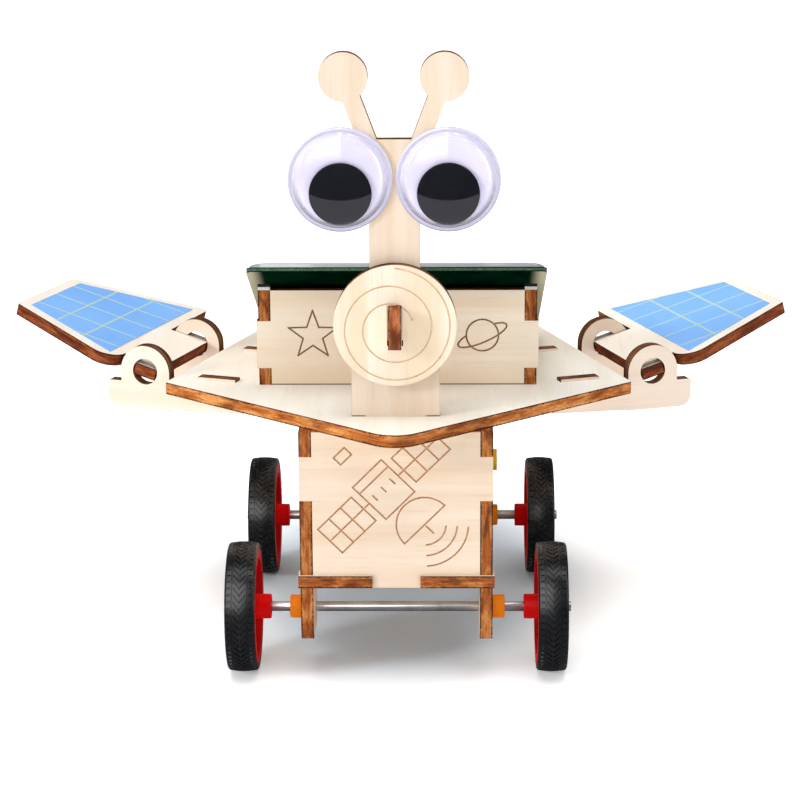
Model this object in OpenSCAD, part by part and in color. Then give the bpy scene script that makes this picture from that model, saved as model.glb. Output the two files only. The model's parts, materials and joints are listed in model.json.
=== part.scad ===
// Solar robot kit: laser-cut plywood chassis, deck, hinged wings, googly-eyed head and solar panel.
// Units are millimetres. +X is to the right seen from the front, +Y is backwards, +Z is up.
// The origin is on the ground, on the plane of symmetry, below the middle of the deck plate.

/* [Plywood] */
// Thickness of every laser-cut sheet
ply = 2.5; // [2.4:0.1:2.6]
// Width of an engraved line
engrave_w = 0.3; // [0.26:0.02:0.4]
// Depth of an engraved line
engrave_depth = 0.3; // [0.2:0.05:0.4]

/* [Deck] */
// Length of the deck plate from its blunt front to its tail
deck_length = 150; // [146:1:160]
// Half width at the front side corners
deck_half_w = 48; // [47:0.5:50]
// Distance from the blunt front to the side corners
deck_corner_back = 40.7; // [39:0.1:42]
// Radius of the rounded front tip
deck_tip_r = 6; // [3:0.5:10]
// Half width of the tail
deck_tail_half_w = 11.5; // [10:0.5:13]
// Height of the deck's upper face above the ground
deck_top = 54.5; // [54.2:0.1:55.5]

/* [Wheels and axles] */
// Outside diameter of the tyres
wheel_d = 26.2; // [26:0.1:26.4]
// Width of a tyre
tyre_w = 6; // [5.5:0.1:6.5]
// Distance between the centre planes of the two wheels on an axle
track = 62; // [61:0.5:64]
// Distance of the front axle behind the deck's front
front_axle_back = 19.8; // [19.5:0.1:20.2]
// Distance between the axles
wheelbase = 61; // [60:0.5:61.5]
// Diameter of the steel axles
axle_d = 2; // [1.9:0.05:2.1]
// Radial running clearance of everything that turns
run_gap = 0.05; // [0.03:0.01:0.08]

/* [Chassis box] */
// Outside width over the two side plates
chassis_w = 38; // [37.6:0.1:38.4]
// Distance of the chassis front face ahead of the front axle
chassis_front_ahead = 8.8; // [8.4:0.1:9.2]
// Height of the underside of the bottom plate
bottom_z = 20.2; // [20:0.1:20.4]
// Height of the lower end of the legs
leg_bottom_z = 8.5; // [8:0.1:9]

/* [Panel box] */
// Outside width over the two wedge side plates
box_w = 56.8; // [56:0.2:57]
// Height of the box front plate
box_h = 19.8; // [19:0.2:20]
// Distance of the box front face behind the deck's front
box_back = 38.5; // [38:0.1:39]
// Length of the wedge side plates
box_length = 36.5; // [36:0.1:37]

/* [Solar panel] */
// Width of the panel
panel_w = 60; // [59:0.5:61]
// Length of the panel down its slope
panel_length = 58.5; // [58:0.1:59]
// Slope of the panel, down towards the tail
panel_slope = 25.5; // [25.2:0.1:25.8]
// Thickness of the circuit board
board_t = 0.95; // [0.8:0.05:1.2]
// Thickness of the cell and resin layer
resin_t = 1; // [0.7:0.1:1.2]
// Thickness of the foam tape
tape_t = 1.25; // [1:0.05:1.4]

/* [Wings] */
// Length of a wing outward from its hinge axis
wing_reach = 35.3; // [33:0.1:37]
// Half width of a wing at its outer end
wing_tip_half_w = 13.2; // [12:0.1:14]
// Taper of each wing edge, as width per length
wing_taper = 0.4; // [0.36:0.01:0.42]
// Upward tilt of the wings at rest
wing_tilt = 15.5; // [10:0.5:20]
// Height of the hinge axis above the deck's upper face
hinge_rise = 0.8; // [0.7:0.05:0.9]
// Spacing of the two arms that carry a wing
arm_spacing = 26; // [25.5:0.1:26.4]
// Outside radius of an arm's ring
ring_r = 5.5; // [5.4:0.05:5.7]
// Radius of an arm's ring hole
ring_hole_r = 2.75; // [2.7:0.01:2.8]

/* [Head] */
// Height of the notch between the antennas
neck_top_z = 108.9; // [108:0.1:111]
// Height of the antenna discs' centres
antenna_z = 120.7; // [120:0.1:122]
// Radius of an antenna disc
antenna_r = 4.7; // [4.4:0.1:5]
// Radius of the nose disc
nose_r = 11.9; // [11.5:0.1:12.1]
// Height of the nose disc's centre
nose_z = 73.2; // [73:0.1:73.4]
// How far the nose peg stands out of the nose disc
peg_out = 4; // [2:0.5:6]
// Radius of a googly eye
eye_r = 10; // [9.8:0.1:10]
// Height of the eyes' centres
eye_z = 101.3; // [101:0.1:102]

/* [Drive] */
// Gear module
gear_module = 0.5; // [0.5]
// Teeth on the axle gear
gear_teeth = 40; // [40]
// Teeth on the motor pinion
pinion_teeth = 12; // [12]

/* [Hidden] */
$fn = 72;
small = 0.01;

// Colours
wood = "BurlyWood";
print_blue = "CornflowerBlue";
steel = "Silver";
rim_red = "Crimson";
tyre_black = [0.08, 0.08, 0.09];
collar_orange = "DarkOrange";

// Deck
deck_under = deck_top - ply;
deck_front_y = -deck_length / 2;
deck_tail_y = deck_length / 2;
corner_y = deck_front_y + deck_corner_back;
deck_corner_r = 0.3;
// Angle of the tail edges from the plane of symmetry; the arms stand square to these edges
edge_yaw = atan((deck_half_w - deck_tail_half_w) / (deck_tail_y - corner_y));

// Axles
wheel_r = wheel_d / 2;
axle_r = axle_d / 2;
front_axle_y = deck_front_y + front_axle_back;
rear_axle_y = front_axle_y + wheelbase;
axle_half_length = track / 2 + tyre_w / 2 + 1;
collar_r = 2.35;
collar_length = 2.4;
rim_r = 11.7;
hub_r = 2.5;
hub_inward = 2.5;

// Chassis box
side_out_x = chassis_w / 2;
side_in_x = side_out_x - ply;
chassis_front_y = front_axle_y - chassis_front_ahead;
chassis_rear_y = rear_axle_y + chassis_front_ahead;
leg_w = 14;
leg_corner_r = 3;
rail_z = 17.5;
bottom_top_z = bottom_z + ply;
bottom_end_y = rear_axle_y - 9.8;
finger_low_z = 38;
finger_high_z = 47;
front_tab_half_w = 4.75;
front_tab_drop = 0.1;
ear_x = side_out_x + 0.4;
ear_proud = 0.6;
ear_back = 3;
bottom_tab_y = -26;
tab_length = 8;
side_tab_front_y = -32;
side_tab_rear_y = -12;

// Panel box
box_out_x = box_w / 2;
box_in_x = box_out_x - ply;
box_front_y = deck_front_y + box_back;
box_finger_low_z = deck_top + 3.5;
box_finger_high_z = deck_top + 13.4;
box_finger_proud = 0.4;
box_tab_front_y = box_front_y + 3;
box_tab_rear_y = box_front_y + 15;
box_tab_length = 7;

// Solar panel: its underside meets the deck at the tail end and slopes up towards the front
panel_gap = 0.3;
panel_front_z = deck_top + panel_gap + panel_length * sin(panel_slope);
panel_front_y = deck_front_y + 29.6;
board_corner_r = 1.2;
resin_corner_r = 3.6;
resin_inset = 0.3;
wire_hole_r = 3;
wire_hole = [10, -12];

// Wings and arms, in the hinge frame: x outward, y along the hinge axis, z up
hinge_out = 6.5;
first_arm_along = 5.2;
hinge_x = deck_half_w + hinge_out * cos(edge_yaw) - first_arm_along * sin(edge_yaw);
hinge_y = corner_y + hinge_out * sin(edge_yaw) + first_arm_along * cos(edge_yaw);
hinge_z = deck_top + hinge_rise;
arm_low = deck_top - 7.3 - hinge_z;
arm_taper = 0.8;
arm_shoulder = deck_under - hinge_z;
arm_tab_proud = 0.6;
arm_tab_top = deck_top + arm_tab_proud - hinge_z;
foot_out = 8.7;
foot_top = deck_top - 1.5 - hinge_z;
foot_corner_r = 2.4;
foot_top_r = 0.6;
arm_inner_end = -22;
front_tab_from = -20.4;
front_tab_to = -12;
rear_tab_from = -15.5;
rear_tab_to = -11.1;
wing_inner = ring_r + 0.8;
wing_mid_along = 20.2;
wing_corner_r = 4;
wing_small_r = 1.2;
wing_pin_w = 4.7;
wing_side_gap = 0.3;
film_inset = 2.5;
film_t = 0.12;

// Head
neck_front_y = chassis_front_y + 2.7;
neck_half_w = 4.9;
neck_base_half_w = 8.6;
neck_base_top_z = 66;
neck_tab_half_w = 5.4;
antenna_x = 9.6;
stem_w = 3.5;
stem_foot = [3.9, neck_top_z - 3.4];
notch_half_w = 3.4;
nose_front_y = neck_front_y - ply;
peg_h = 7.7;
peg_slot_w = 3.1;
peg_slot_h = 8;
peg_back = 6.2;
spiral_turns = 2.2;
spiral_steps = 110;
// Shares of the nose disc's radius
spiral_outer = 0.95;
spiral_pitch = 0.298;
spiral_bulge = 0.05;
spiral_lean = 0.035;

// Eyes
eye_x = eye_r + 0.3;
eye_back_t = 0.6;
dome_wall = 0.4;
dome_base_r = eye_r - 0.7;
dome_wall_h = 1.6;
dome_h = 4.6;
pupil_r = 6;
pupil_t = 0.8;
pupil_drop = 2.7;
pupil_lift = 0.15;

// Drive
gear_r = gear_module * gear_teeth / 2;
pinion_r = gear_module * pinion_teeth / 2;
motor_z = wheel_r + gear_r + pinion_r;
pressure_angle = 25;
tooth_backlash = 0.06;
gear_x = -13;
gear_t = 3;
gear_room = 0.8;
gear_notch_top = bottom_z + 3.5;
pinion_x = -13.5;
pinion_t = 4;
can_r = 6;
can_flat = 10;
can_front_x = -7;
can_rear_x = 13;
can_wall = 0.5;
cap_rear_x = 15;
boss_r = 2.4;
boss_end_x = 21.4;
shaft_r = 0.5;
shaft_front_x = -14.5;
rotor_r = 3.4;
bulkhead_x = -4.5;
wire_r = 0.55;

// ---- Helpers -------------------------------------------------------------------------------

// A plate standing across the robot: the outline is drawn in x and z, its front face is at front_y
module cross_sheet(front_y, thickness = ply) {
    translate([0, front_y + thickness, 0])
        rotate([90, 0, 0])
            linear_extrude(thickness) children();
}

// A plate standing along the robot: the outline is drawn in y and z, from x to x + thickness
module long_sheet(x, thickness = ply) {
    translate([x, 0, 0])
        rotate([90, 0, 90])
            linear_extrude(thickness) children();
}

module box_2d(low, high) {
    translate(low) square(high - low);
}

// Unit vector from a to b
function unit(a, b) = (b - a) / norm(b - a);

// Tangent distance, and centre, of a circle of radius r that rounds the corner p between a and b
function corner_cut(a, p, b, r) = r / tan(acos(unit(p, a) * unit(p, b)) / 2);
function corner_centre(a, p, b, r) =
    p + (unit(p, a) + unit(p, b)) / norm(unit(p, a) + unit(p, b))
        * norm([r, corner_cut(a, p, b, r)]);

// A convex polygon with each corner rounded to its own radius, as true arcs
module round_polygon(points, radii) {
    n = len(points);
    polygon([
        for (i = [0 : n - 1])
            let (a = points[(i + n - 1) % n], p = points[i], b = points[(i + 1) % n],
                 cut = corner_cut(a, p, b, radii[i]))
            each [p + unit(p, a) * cut, p + unit(p, b) * cut]
    ]);
    for (i = [0 : n - 1]) {
        centre = corner_centre(points[(i + n - 1) % n], points[i], points[(i + 1) % n], radii[i]);
        translate(centre) circle(radii[i]);
    }
}

module mirror_pair() {
    children();
    mirror([1, 0, 0]) children();
}

// An engraved straight line between two points
module engrave_line(a, b) {
    d = unit(a, b);
    side = [-d[1], d[0]] * engrave_w / 2;
    tip = d * engrave_w / 2;
    polygon([a - tip + side, a - tip - side, b + tip - side, b + tip + side]);
}

// Engraved lines through a list of points
module engrave_path(points, closed = false) {
    last = closed ? len(points) - 1 : len(points) - 2;
    for (i = [0 : last]) engrave_line(points[i], points[(i + 1) % len(points)]);
}

// An engraved arc about the origin from angle a0 to a1
module engrave_arc(r, a0, a1) {
    steps = 14;
    outer = r + engrave_w / 2;
    inner = r - engrave_w / 2;
    polygon(concat(
        [for (i = [0 : steps]) let (a = a0 + (a1 - a0) * i / steps) outer * [cos(a), sin(a)]],
        [for (i = [steps : -1 : 0]) let (a = a0 + (a1 - a0) * i / steps) inner * [cos(a), sin(a)]]
    ));
}

// Places the right-hand wing parts on their hinge, and their mirror images on the left
module on_hinge(side) {
    mirror([side == "left" ? 1 : 0, 0, 0])
        translate([hinge_x, hinge_y, hinge_z])
            rotate([0, 0, edge_yaw]) children();
}

// Places the panel parts: the origin is the underside's front edge, y runs down the slope
module on_panel() {
    translate([0, panel_front_y, panel_front_z])
        rotate([-panel_slope, 0, 0]) children();
}

// How far the apex of the front edges lies ahead of a rounded tip: the edges' angle depends on
// the apex, so the value is found by repeating the same step
function tip_apex(r, steps = 12, ahead = 2) =
    steps == 0 ? ahead :
    let (edge_angle = atan((deck_corner_back + ahead) / deck_half_w))
    tip_apex(r, steps - 1, r * (1 / cos(edge_angle) - 1));

// Height of the panel's underside at a given y
function panel_under_z(y) = panel_front_z - (y - panel_front_y) * tan(panel_slope);

// ---- Deck ----------------------------------------------------------------------------------

module arm_slots() {
    for (side = ["left", "right"]) on_hinge(side) {
        translate([front_tab_from, -ply / 2]) square([front_tab_to - front_tab_from, ply]);
        translate([rear_tab_from, arm_spacing - ply / 2]) square([rear_tab_to - rear_tab_from, ply]);
    }
}

// The kite: its front edges meet at an apex that is rounded back to the deck's front
module deck_outline() {
    apex_ahead = tip_apex(deck_tip_r);
    round_polygon(
        [[0, deck_front_y - apex_ahead], [deck_half_w, corner_y], [deck_tail_half_w, deck_tail_y],
         [-deck_tail_half_w, deck_tail_y], [-deck_half_w, corner_y]],
        [deck_tip_r, deck_corner_r, deck_corner_r, deck_corner_r, deck_corner_r]);
}

module deck_plate() {
    color(wood) difference() {
        translate([0, 0, deck_under]) linear_extrude(ply) difference() {
            deck_outline();
            box_2d([-neck_tab_half_w, neck_front_y], [neck_tab_half_w, neck_front_y + ply]);
            mirror_pair() {
                for (y = [side_tab_front_y, side_tab_rear_y])
                    box_2d([side_in_x, y], [side_out_x, y + tab_length]);
                for (y = [box_tab_front_y, box_tab_rear_y])
                    box_2d([box_in_x, y], [box_out_x, y + box_tab_length]);
            }
            translate(wire_hole) circle(wire_hole_r);
        }
        translate([0, 0, deck_under - hinge_z - small]) linear_extrude(ply + hinge_z + small) arm_slots();
    }
}

// ---- Chassis box ---------------------------------------------------------------------------

// Engraved line drawing of a communications satellite, about the middle of the front plate
module satellite_engraving() {
    translate([-2.4, 40.4]) rotate(45) {
        engrave_path([[-4, -4.6], [4, -4.6], [4, 4.6], [-4, 4.6]], true);
        engrave_line([-4, 2.7], [4, 2.7]);
        for (x = [-2.4, 0, 2.4]) engrave_line([x, 0.6], [x, -0.6]);
        // Solar wings, each a grid of cells on a short strut
        for (s = [-1, 1]) scale([s, 1]) {
            engrave_line([4, 0], [5.6, 0]);
            engrave_path([[5.6, -3.4], [15, -3.4], [15, 3.4], [5.6, 3.4]], true);
            engrave_line([5.6, 0], [15, 0]);
            for (x = [8.7, 11.9]) engrave_line([x, -3.4], [x, 3.4]);
        }
    }
    // Dish with its feed, and the waves it sends
    translate([5.6, 33.2]) rotate(-45) {
        engrave_arc(5.6, 90, 270);
        engrave_line([0, -5.6], [0, 5.6]);
        engrave_line([0.5, 0], [2.4, 0]);
        for (r = [4.2, 6.4, 8.6]) engrave_arc(r, -42, 42);
    }
    // Star tracker at the upper left
    translate([-10.4, 47.2]) rotate(45) engrave_path([[-1.5, -1], [1.5, -1], [1.5, 1], [-1.5, 1]], true);
}

module end_plate_outline(low_z) {
    box_2d([-side_in_x, low_z], [side_in_x, deck_under]);
    box_2d([-side_out_x, finger_low_z], [side_out_x, finger_high_z]);
}

module chassis_front_plate() {
    color(wood) difference() {
        cross_sheet(chassis_front_y) {
            end_plate_outline(bottom_top_z);
            box_2d([-front_tab_half_w, bottom_z - front_tab_drop], [front_tab_half_w, bottom_top_z + 1]);
        }
        cross_sheet(chassis_front_y - 1, engrave_depth + 1) intersection() {
            satellite_engraving();
            box_2d([-side_in_x + 0.4, bottom_top_z + 1], [side_in_x - 0.4, deck_under - 0.5]);
        }
    }
}

module chassis_rear_plate() {
    color(wood) cross_sheet(chassis_rear_y - ply) difference() {
        end_plate_outline(bottom_z);
        box_2d([bulkhead_x, motor_z + 1], [bulkhead_x + ply, motor_z + 6]);
        // Room for the axle gear
        box_2d([gear_x - gear_room, bottom_z - 1], [gear_x + gear_t + gear_room, gear_notch_top]);
    }
}

module leg_outline(low_y) {
    round_polygon(
        [[low_y, leg_bottom_z], [low_y + leg_w, leg_bottom_z],
         [low_y + leg_w, rail_z + 5], [low_y, rail_z + 5]],
        [leg_corner_r, leg_corner_r, 0.1, 0.1]);
}

module side_outline() {
    difference() {
        union() {
            box_2d([chassis_front_y, rail_z], [chassis_rear_y, deck_under]);
            leg_outline(chassis_front_y);
            leg_outline(chassis_rear_y - leg_w);
            for (y = [side_tab_front_y, side_tab_rear_y])
                box_2d([y, deck_under - 1], [y + tab_length, deck_top]);
        }
        // Notches for the fingers of the end plates
        box_2d([chassis_front_y - 1, finger_low_z], [chassis_front_y + ply, finger_high_z]);
        box_2d([chassis_rear_y - ply, finger_low_z], [chassis_rear_y + 1, finger_high_z]);
        // Openings for the ears and tabs of the bottom plate
        box_2d([chassis_front_y - 1, bottom_z], [chassis_front_y + ear_back, bottom_top_z]);
        box_2d([bottom_tab_y, bottom_z], [bottom_tab_y + tab_length, bottom_top_z]);
        for (y = [front_axle_y, rear_axle_y])
            translate([y, wheel_r]) circle(axle_r + run_gap);
    }
}

module chassis_left_side() {
    color(wood) long_sheet(-side_out_x) side_outline();
}

module chassis_right_side() {
    color(wood) long_sheet(side_in_x) difference() {
        side_outline();
        translate([rear_axle_y, motor_z]) circle(boss_r + run_gap);
    }
}

module chassis_bottom_plate() {
    color(wood) translate([0, 0, bottom_z]) linear_extrude(ply) difference() {
        union() {
            box_2d([-side_in_x, chassis_front_y - ear_proud], [side_in_x, bottom_end_y]);
            box_2d([-ear_x, chassis_front_y - ear_proud], [ear_x, chassis_front_y + ear_back]);
            box_2d([-side_out_x, bottom_tab_y], [side_out_x, bottom_tab_y + tab_length]);
        }
        box_2d([-front_tab_half_w, chassis_front_y - 1], [front_tab_half_w, chassis_front_y + ply]);
        box_2d([bulkhead_x, -12], [bulkhead_x + ply, -6]);
    }
}

// Stands along the chassis, keyed into the bottom and rear plates, and holds the motor can
module motor_bulkhead() {
    rear_y = chassis_rear_y - ply;
    color(wood) long_sheet(bulkhead_x) difference() {
        union() {
            box_2d([-14, bottom_top_z], [rear_y, 36]);
            box_2d([bottom_end_y, 18.5], [rear_y, 36]);
            box_2d([-12, bottom_z], [-6, bottom_top_z + 1]);
            box_2d([rear_y - 1, motor_z + 1], [chassis_rear_y, motor_z + 6]);
        }
        translate([rear_axle_y, motor_z]) can_outline(0.03);
    }
}

// ---- Panel box -----------------------------------------------------------------------------

// Five-pointed star outline
module star_engraving() {
    tip_r = 5.2;
    waist_r = 2.1;
    engrave_path([
        for (i = [0 : 9]) let (a = 90 + 36 * i, r = i % 2 == 0 ? tip_r : waist_r) r * [cos(a), sin(a)]
    ], true);
}

// Planet outline with a tilted ring
module planet_engraving() {
    planet_r = 3.3;
    ring_a = 5.4;
    ring_b = 1.5;
    steps = 20;
    ring_from = 129;
    ring_to = 411;
    engrave_arc(planet_r, 0, 180);
    engrave_arc(planet_r, 180, 360);
    rotate(24) engrave_path([
        for (i = [0 : steps])
            let (a = ring_from + (ring_to - ring_from) * i / steps) [ring_a * cos(a), ring_b * sin(a)]
    ]);
}

module box_front_plate() {
    picture_x = 17.3;
    picture_z = deck_top + 10.4;
    color(wood) difference() {
        cross_sheet(box_front_y) {
            box_2d([-box_in_x, deck_top], [box_in_x, deck_top + box_h]);
            box_2d([-box_out_x - box_finger_proud, box_finger_low_z],
                   [box_out_x + box_finger_proud, box_finger_high_z]);
        }
        cross_sheet(box_front_y - 1, engrave_depth + 1) {
            translate([-picture_x, picture_z]) star_engraving();
            translate([picture_x, picture_z]) planet_engraving();
        }
    }
}

module wedge_outline() {
    rear_y = box_front_y + box_length;
    front_top = panel_under_z(box_front_y) - tape_t / cos(panel_slope);
    rear_top = panel_under_z(rear_y) - tape_t / cos(panel_slope);
    difference() {
        union() {
            polygon([[box_front_y, deck_top], [rear_y, deck_top], [rear_y, rear_top],
                     [box_front_y, front_top]]);
            for (y = [box_tab_front_y, box_tab_rear_y])
                box_2d([y, deck_under], [y + box_tab_length, deck_top + 1]);
        }
        box_2d([box_front_y - 1, box_finger_low_z], [box_front_y + ply, box_finger_high_z]);
    }
}

module box_left_side() {
    color(wood) long_sheet(-box_out_x) wedge_outline();
}

module box_right_side() {
    color(wood) long_sheet(box_in_x) wedge_outline();
}

// ---- Solar panel ---------------------------------------------------------------------------

module panel_outline(inset, corner_r) {
    half = panel_w / 2 - inset;
    far = panel_length - inset;
    round_polygon([[-half, inset], [half, inset], [half, far], [-half, far]],
                  [for (i = [0 : 3]) corner_r]);
}

module panel_board() {
    color("DarkGreen") on_panel() linear_extrude(board_t) panel_outline(0, board_corner_r);
}

module panel_cells() {
    color("MidnightBlue") on_panel() translate([0, 0, board_t])
        linear_extrude(resin_t) panel_outline(resin_inset, resin_corner_r);
}

// Two strips of foam tape between the wedge plates and the panel
module panel_tape() {
    along_front = (box_front_y - panel_front_y) / cos(panel_slope) + 0.5;
    along_rear = along_front + box_length / cos(panel_slope) - 1.5;
    color("White") on_panel() mirror_pair()
        translate([box_in_x, along_front, -tape_t])
            cube([ply, along_rear - along_front, tape_t]);
}

// ---- Arms and wings ------------------------------------------------------------------------

// Arm outline in the hinge frame: ring ear, outer foot, bar under the deck and tab through it
module arm_outline(tab_from, tab_to) {
    difference() {
        union() {
            circle(ring_r);
            box_2d([-ring_r, arm_low], [ring_r, 0]);
            polygon([[arm_inner_end, arm_low + arm_taper], [0, arm_low], [0, arm_shoulder],
                     [arm_inner_end, arm_shoulder]]);
            box_2d([tab_from, arm_shoulder - 1], [tab_to, arm_tab_top]);
            round_polygon([[0, arm_low], [foot_out, arm_low], [foot_out, foot_top], [0, foot_top]],
                          [0.1, foot_corner_r, foot_top_r, 0.1]);
        }
        circle(ring_hole_r);
    }
}

module front_arm(side) {
    color(wood) on_hinge(side) cross_sheet(-ply / 2) arm_outline(front_tab_from, front_tab_to);
}

module rear_arm(side) {
    color(wood) on_hinge(side)
        cross_sheet(arm_spacing - ply / 2) arm_outline(rear_tab_from, rear_tab_to);
}

// Corners of the wing's tapered field, drawn in by an inset on all sides
function wing_corners(inset) =
    let (side_inset = inset * sqrt(1 + wing_taper * wing_taper),
         near = wing_inner + inset,
         far = wing_reach - inset,
         far_half = wing_tip_half_w + wing_taper * inset - side_inset,
         near_half = wing_tip_half_w + wing_taper * (wing_reach - near) - side_inset)
    [[near, wing_mid_along - near_half], [far, wing_mid_along - far_half],
     [far, wing_mid_along + far_half], [near, wing_mid_along + near_half]];

// Wing outline: tapered field, tongue between the arms, and a square pin into each ring
module wing_outline() {
    pin_half = wing_pin_w / 2;
    tongue_from = ply / 2 + wing_side_gap;
    tongue_to = arm_spacing - ply / 2 - wing_side_gap;
    round_polygon(wing_corners(0), [wing_corner_r, wing_small_r, wing_small_r, wing_small_r]);
    box_2d([-pin_half, tongue_from], [wing_inner + 1, tongue_to]);
    box_2d([-pin_half, -ply / 2], [pin_half, arm_spacing + ply / 2]);
}

module wing_plate(side) {
    color(wood) on_hinge(side) rotate([0, -wing_tilt, 0])
        translate([0, 0, -ply / 2]) linear_extrude(ply) wing_outline();
}

module wing_film(side) {
    color(print_blue) on_hinge(side) rotate([0, -wing_tilt, 0])
        translate([0, 0, ply / 2]) linear_extrude(film_t) polygon(wing_corners(film_inset));
}

module left_front_arm() { front_arm("left"); }
module left_rear_arm() { rear_arm("left"); }
module right_front_arm() { front_arm("right"); }
module right_rear_arm() { rear_arm("right"); }
module left_wing_plate() { wing_plate("left"); }
module right_wing_plate() { wing_plate("right"); }
module left_wing_film() { wing_film("left"); }
module right_wing_film() { wing_film("right"); }

// ---- Head ----------------------------------------------------------------------------------

module peg_slot() {
    translate([0, nose_z]) square([peg_slot_w, peg_slot_h], center = true);
}

module antenna() {
    disc = [antenna_x, antenna_z];
    d = unit(stem_foot, disc);
    side = [-d[1], d[0]] * stem_w / 2;
    translate(disc) circle(antenna_r);
    polygon([stem_foot + side, stem_foot - side, disc - side, disc + side]);
}

module neck_plate() {
    color(wood) cross_sheet(neck_front_y) difference() {
        union() {
            box_2d([-neck_tab_half_w, deck_under], [neck_tab_half_w, deck_top + 1]);
            box_2d([-neck_base_half_w, deck_top], [neck_base_half_w, neck_base_top_z]);
            box_2d([-neck_half_w, deck_top], [neck_half_w, neck_top_z - 3]);
            polygon([[-neck_half_w, neck_top_z - 4], [neck_half_w, neck_top_z - 4],
                     [notch_half_w, neck_top_z], [-notch_half_w, neck_top_z]]);
            mirror_pair() antenna();
        }
        peg_slot();
    }
}

// Engraved spiral, as one band that winds inward clockwise from the top of the disc, with a
// lopsided step at the upper left of each turn
module spiral_engraving() {
    function spiral_r(turn) = nose_r * (spiral_outer - spiral_pitch * turn
        + spiral_bulge * (1 - cos(360 * turn)) - spiral_lean * sin(360 * turn));
    function spiral_point(i, offset) =
        let (turn = spiral_turns * i / spiral_steps)
        (spiral_r(turn) + offset) * [sin(360 * turn), cos(360 * turn)];
    polygon(concat(
        [for (i = [0 : spiral_steps]) spiral_point(i, engrave_w / 2)],
        [for (i = [spiral_steps : -1 : 0]) spiral_point(i, -engrave_w / 2)]
    ));
}

module nose_disc() {
    color(wood) difference() {
        cross_sheet(nose_front_y) difference() {
            translate([0, nose_z]) circle(nose_r);
            peg_slot();
        }
        cross_sheet(nose_front_y - 1, engrave_depth + 1)
            translate([0, nose_z]) spiral_engraving();
    }
}

module nose_peg() {
    color("SaddleBrown")
        translate([-ply / 2, nose_front_y - peg_out, nose_z - peg_h / 2])
            cube([ply, peg_out + 2 * ply + peg_back, peg_h]);
}

// ---- Eyes ----------------------------------------------------------------------------------

// Turns a profile drawn as radius and height into a body that stands forward from the neck plate
module on_eye(side) {
    translate([side * eye_x, neck_front_y, eye_z]) rotate([90, 0, 0]) children();
}

// Height of the dome over a radius, for an outer or inner surface that starts at radius r
function dome_curve(r, rise) = [
    for (i = [0 : 16]) let (a = 90 * i / 16) [r * cos(a), dome_wall_h + (rise - dome_wall_h) * sin(a)]
];

module eye_back(side) {
    color("White") on_eye(side) cylinder(r = eye_r, h = eye_back_t);
}

module eye_dome(side) {
    inner_r = dome_base_r - dome_wall;
    color([0.9, 0.92, 1, 0.4]) on_eye(side) translate([0, 0, eye_back_t])
        rotate_extrude() polygon(concat(
            [[inner_r, 0], [eye_r, 0], [eye_r, 0.5], [dome_base_r, 0.7]],
            dome_curve(dome_base_r, dome_h),
            [for (i = [16 : -1 : 0]) dome_curve(inner_r, dome_h - dome_wall)[i]]
        ));
}

module pupil(side) {
    color("Black") on_eye(side)
        translate([0, -pupil_drop, eye_back_t + pupil_lift]) cylinder(r = pupil_r, h = pupil_t);
}

module left_eye_back() { eye_back(-1); }
module left_eye_dome() { eye_dome(-1); }
module left_pupil() { pupil(-1); }
module right_eye_back() { eye_back(1); }
module right_eye_dome() { eye_dome(1); }
module right_pupil() { pupil(1); }

// ---- Wheels and axles ----------------------------------------------------------------------

// Places a turned part on an axle: its own axis runs outward, side is -1 or 1
module on_axle(axle_y, side, x = 0) {
    translate([side * x, axle_y, wheel_r]) rotate([0, side * 90, 0]) children();
}

module axle(axle_y) {
    color(steel) on_axle(axle_y, 1, -axle_half_length) cylinder(r = axle_r, h = 2 * axle_half_length);
}

module collars(axle_y) {
    color(collar_orange) for (side = [-1, 1])
        on_axle(axle_y, side, side_out_x + 0.2) difference() {
            cylinder(r = collar_r, h = collar_length);
            translate([0, 0, -1]) cylinder(r = axle_r, h = collar_length + 2);
        }
}

// Rim: barrel with a flange at each side, a thin web, a long hub and five ribs
module rim(axle_y, side) {
    w = tyre_w;
    barrel_r = rim_r - 1;
    inner_r = barrel_r - 0.9;
    web_at = w * 0.55;
    web_t = 1;
    rib_count = 5;
    rib_w = 1.2;
    rib_h = 1.3;
    rib_from = 1.8;
    color(rim_red) on_axle(axle_y, side, track / 2 - tyre_w / 2) difference() {
        union() {
            rotate_extrude() polygon([
                [inner_r, 0], [rim_r, 0], [rim_r, 0.6], [barrel_r, 1.1],
                [barrel_r, w - 1.1], [rim_r, w - 0.6], [rim_r, w], [inner_r, w]
            ]);
            translate([0, 0, web_at]) cylinder(r = inner_r + 0.2, h = web_t);
            translate([0, 0, -hub_inward]) cylinder(r = hub_r, h = hub_inward + w - 0.4);
            for (i = [0 : rib_count - 1]) rotate(i * 360 / rib_count)
                translate([rib_from, -rib_w / 2, web_at + web_t / 2])
                    cube([inner_r + 0.3 - rib_from, rib_w, rib_h]);
        }
        for (i = [0 : rib_count - 1]) rotate((i + 0.5) * 360 / rib_count)
            translate([6.2, 0, 0]) cylinder(r = 1.7, h = w);
        translate([0, 0, -hub_inward - 1]) cylinder(r = axle_r, h = w + hub_inward + 2);
    }
}

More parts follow.
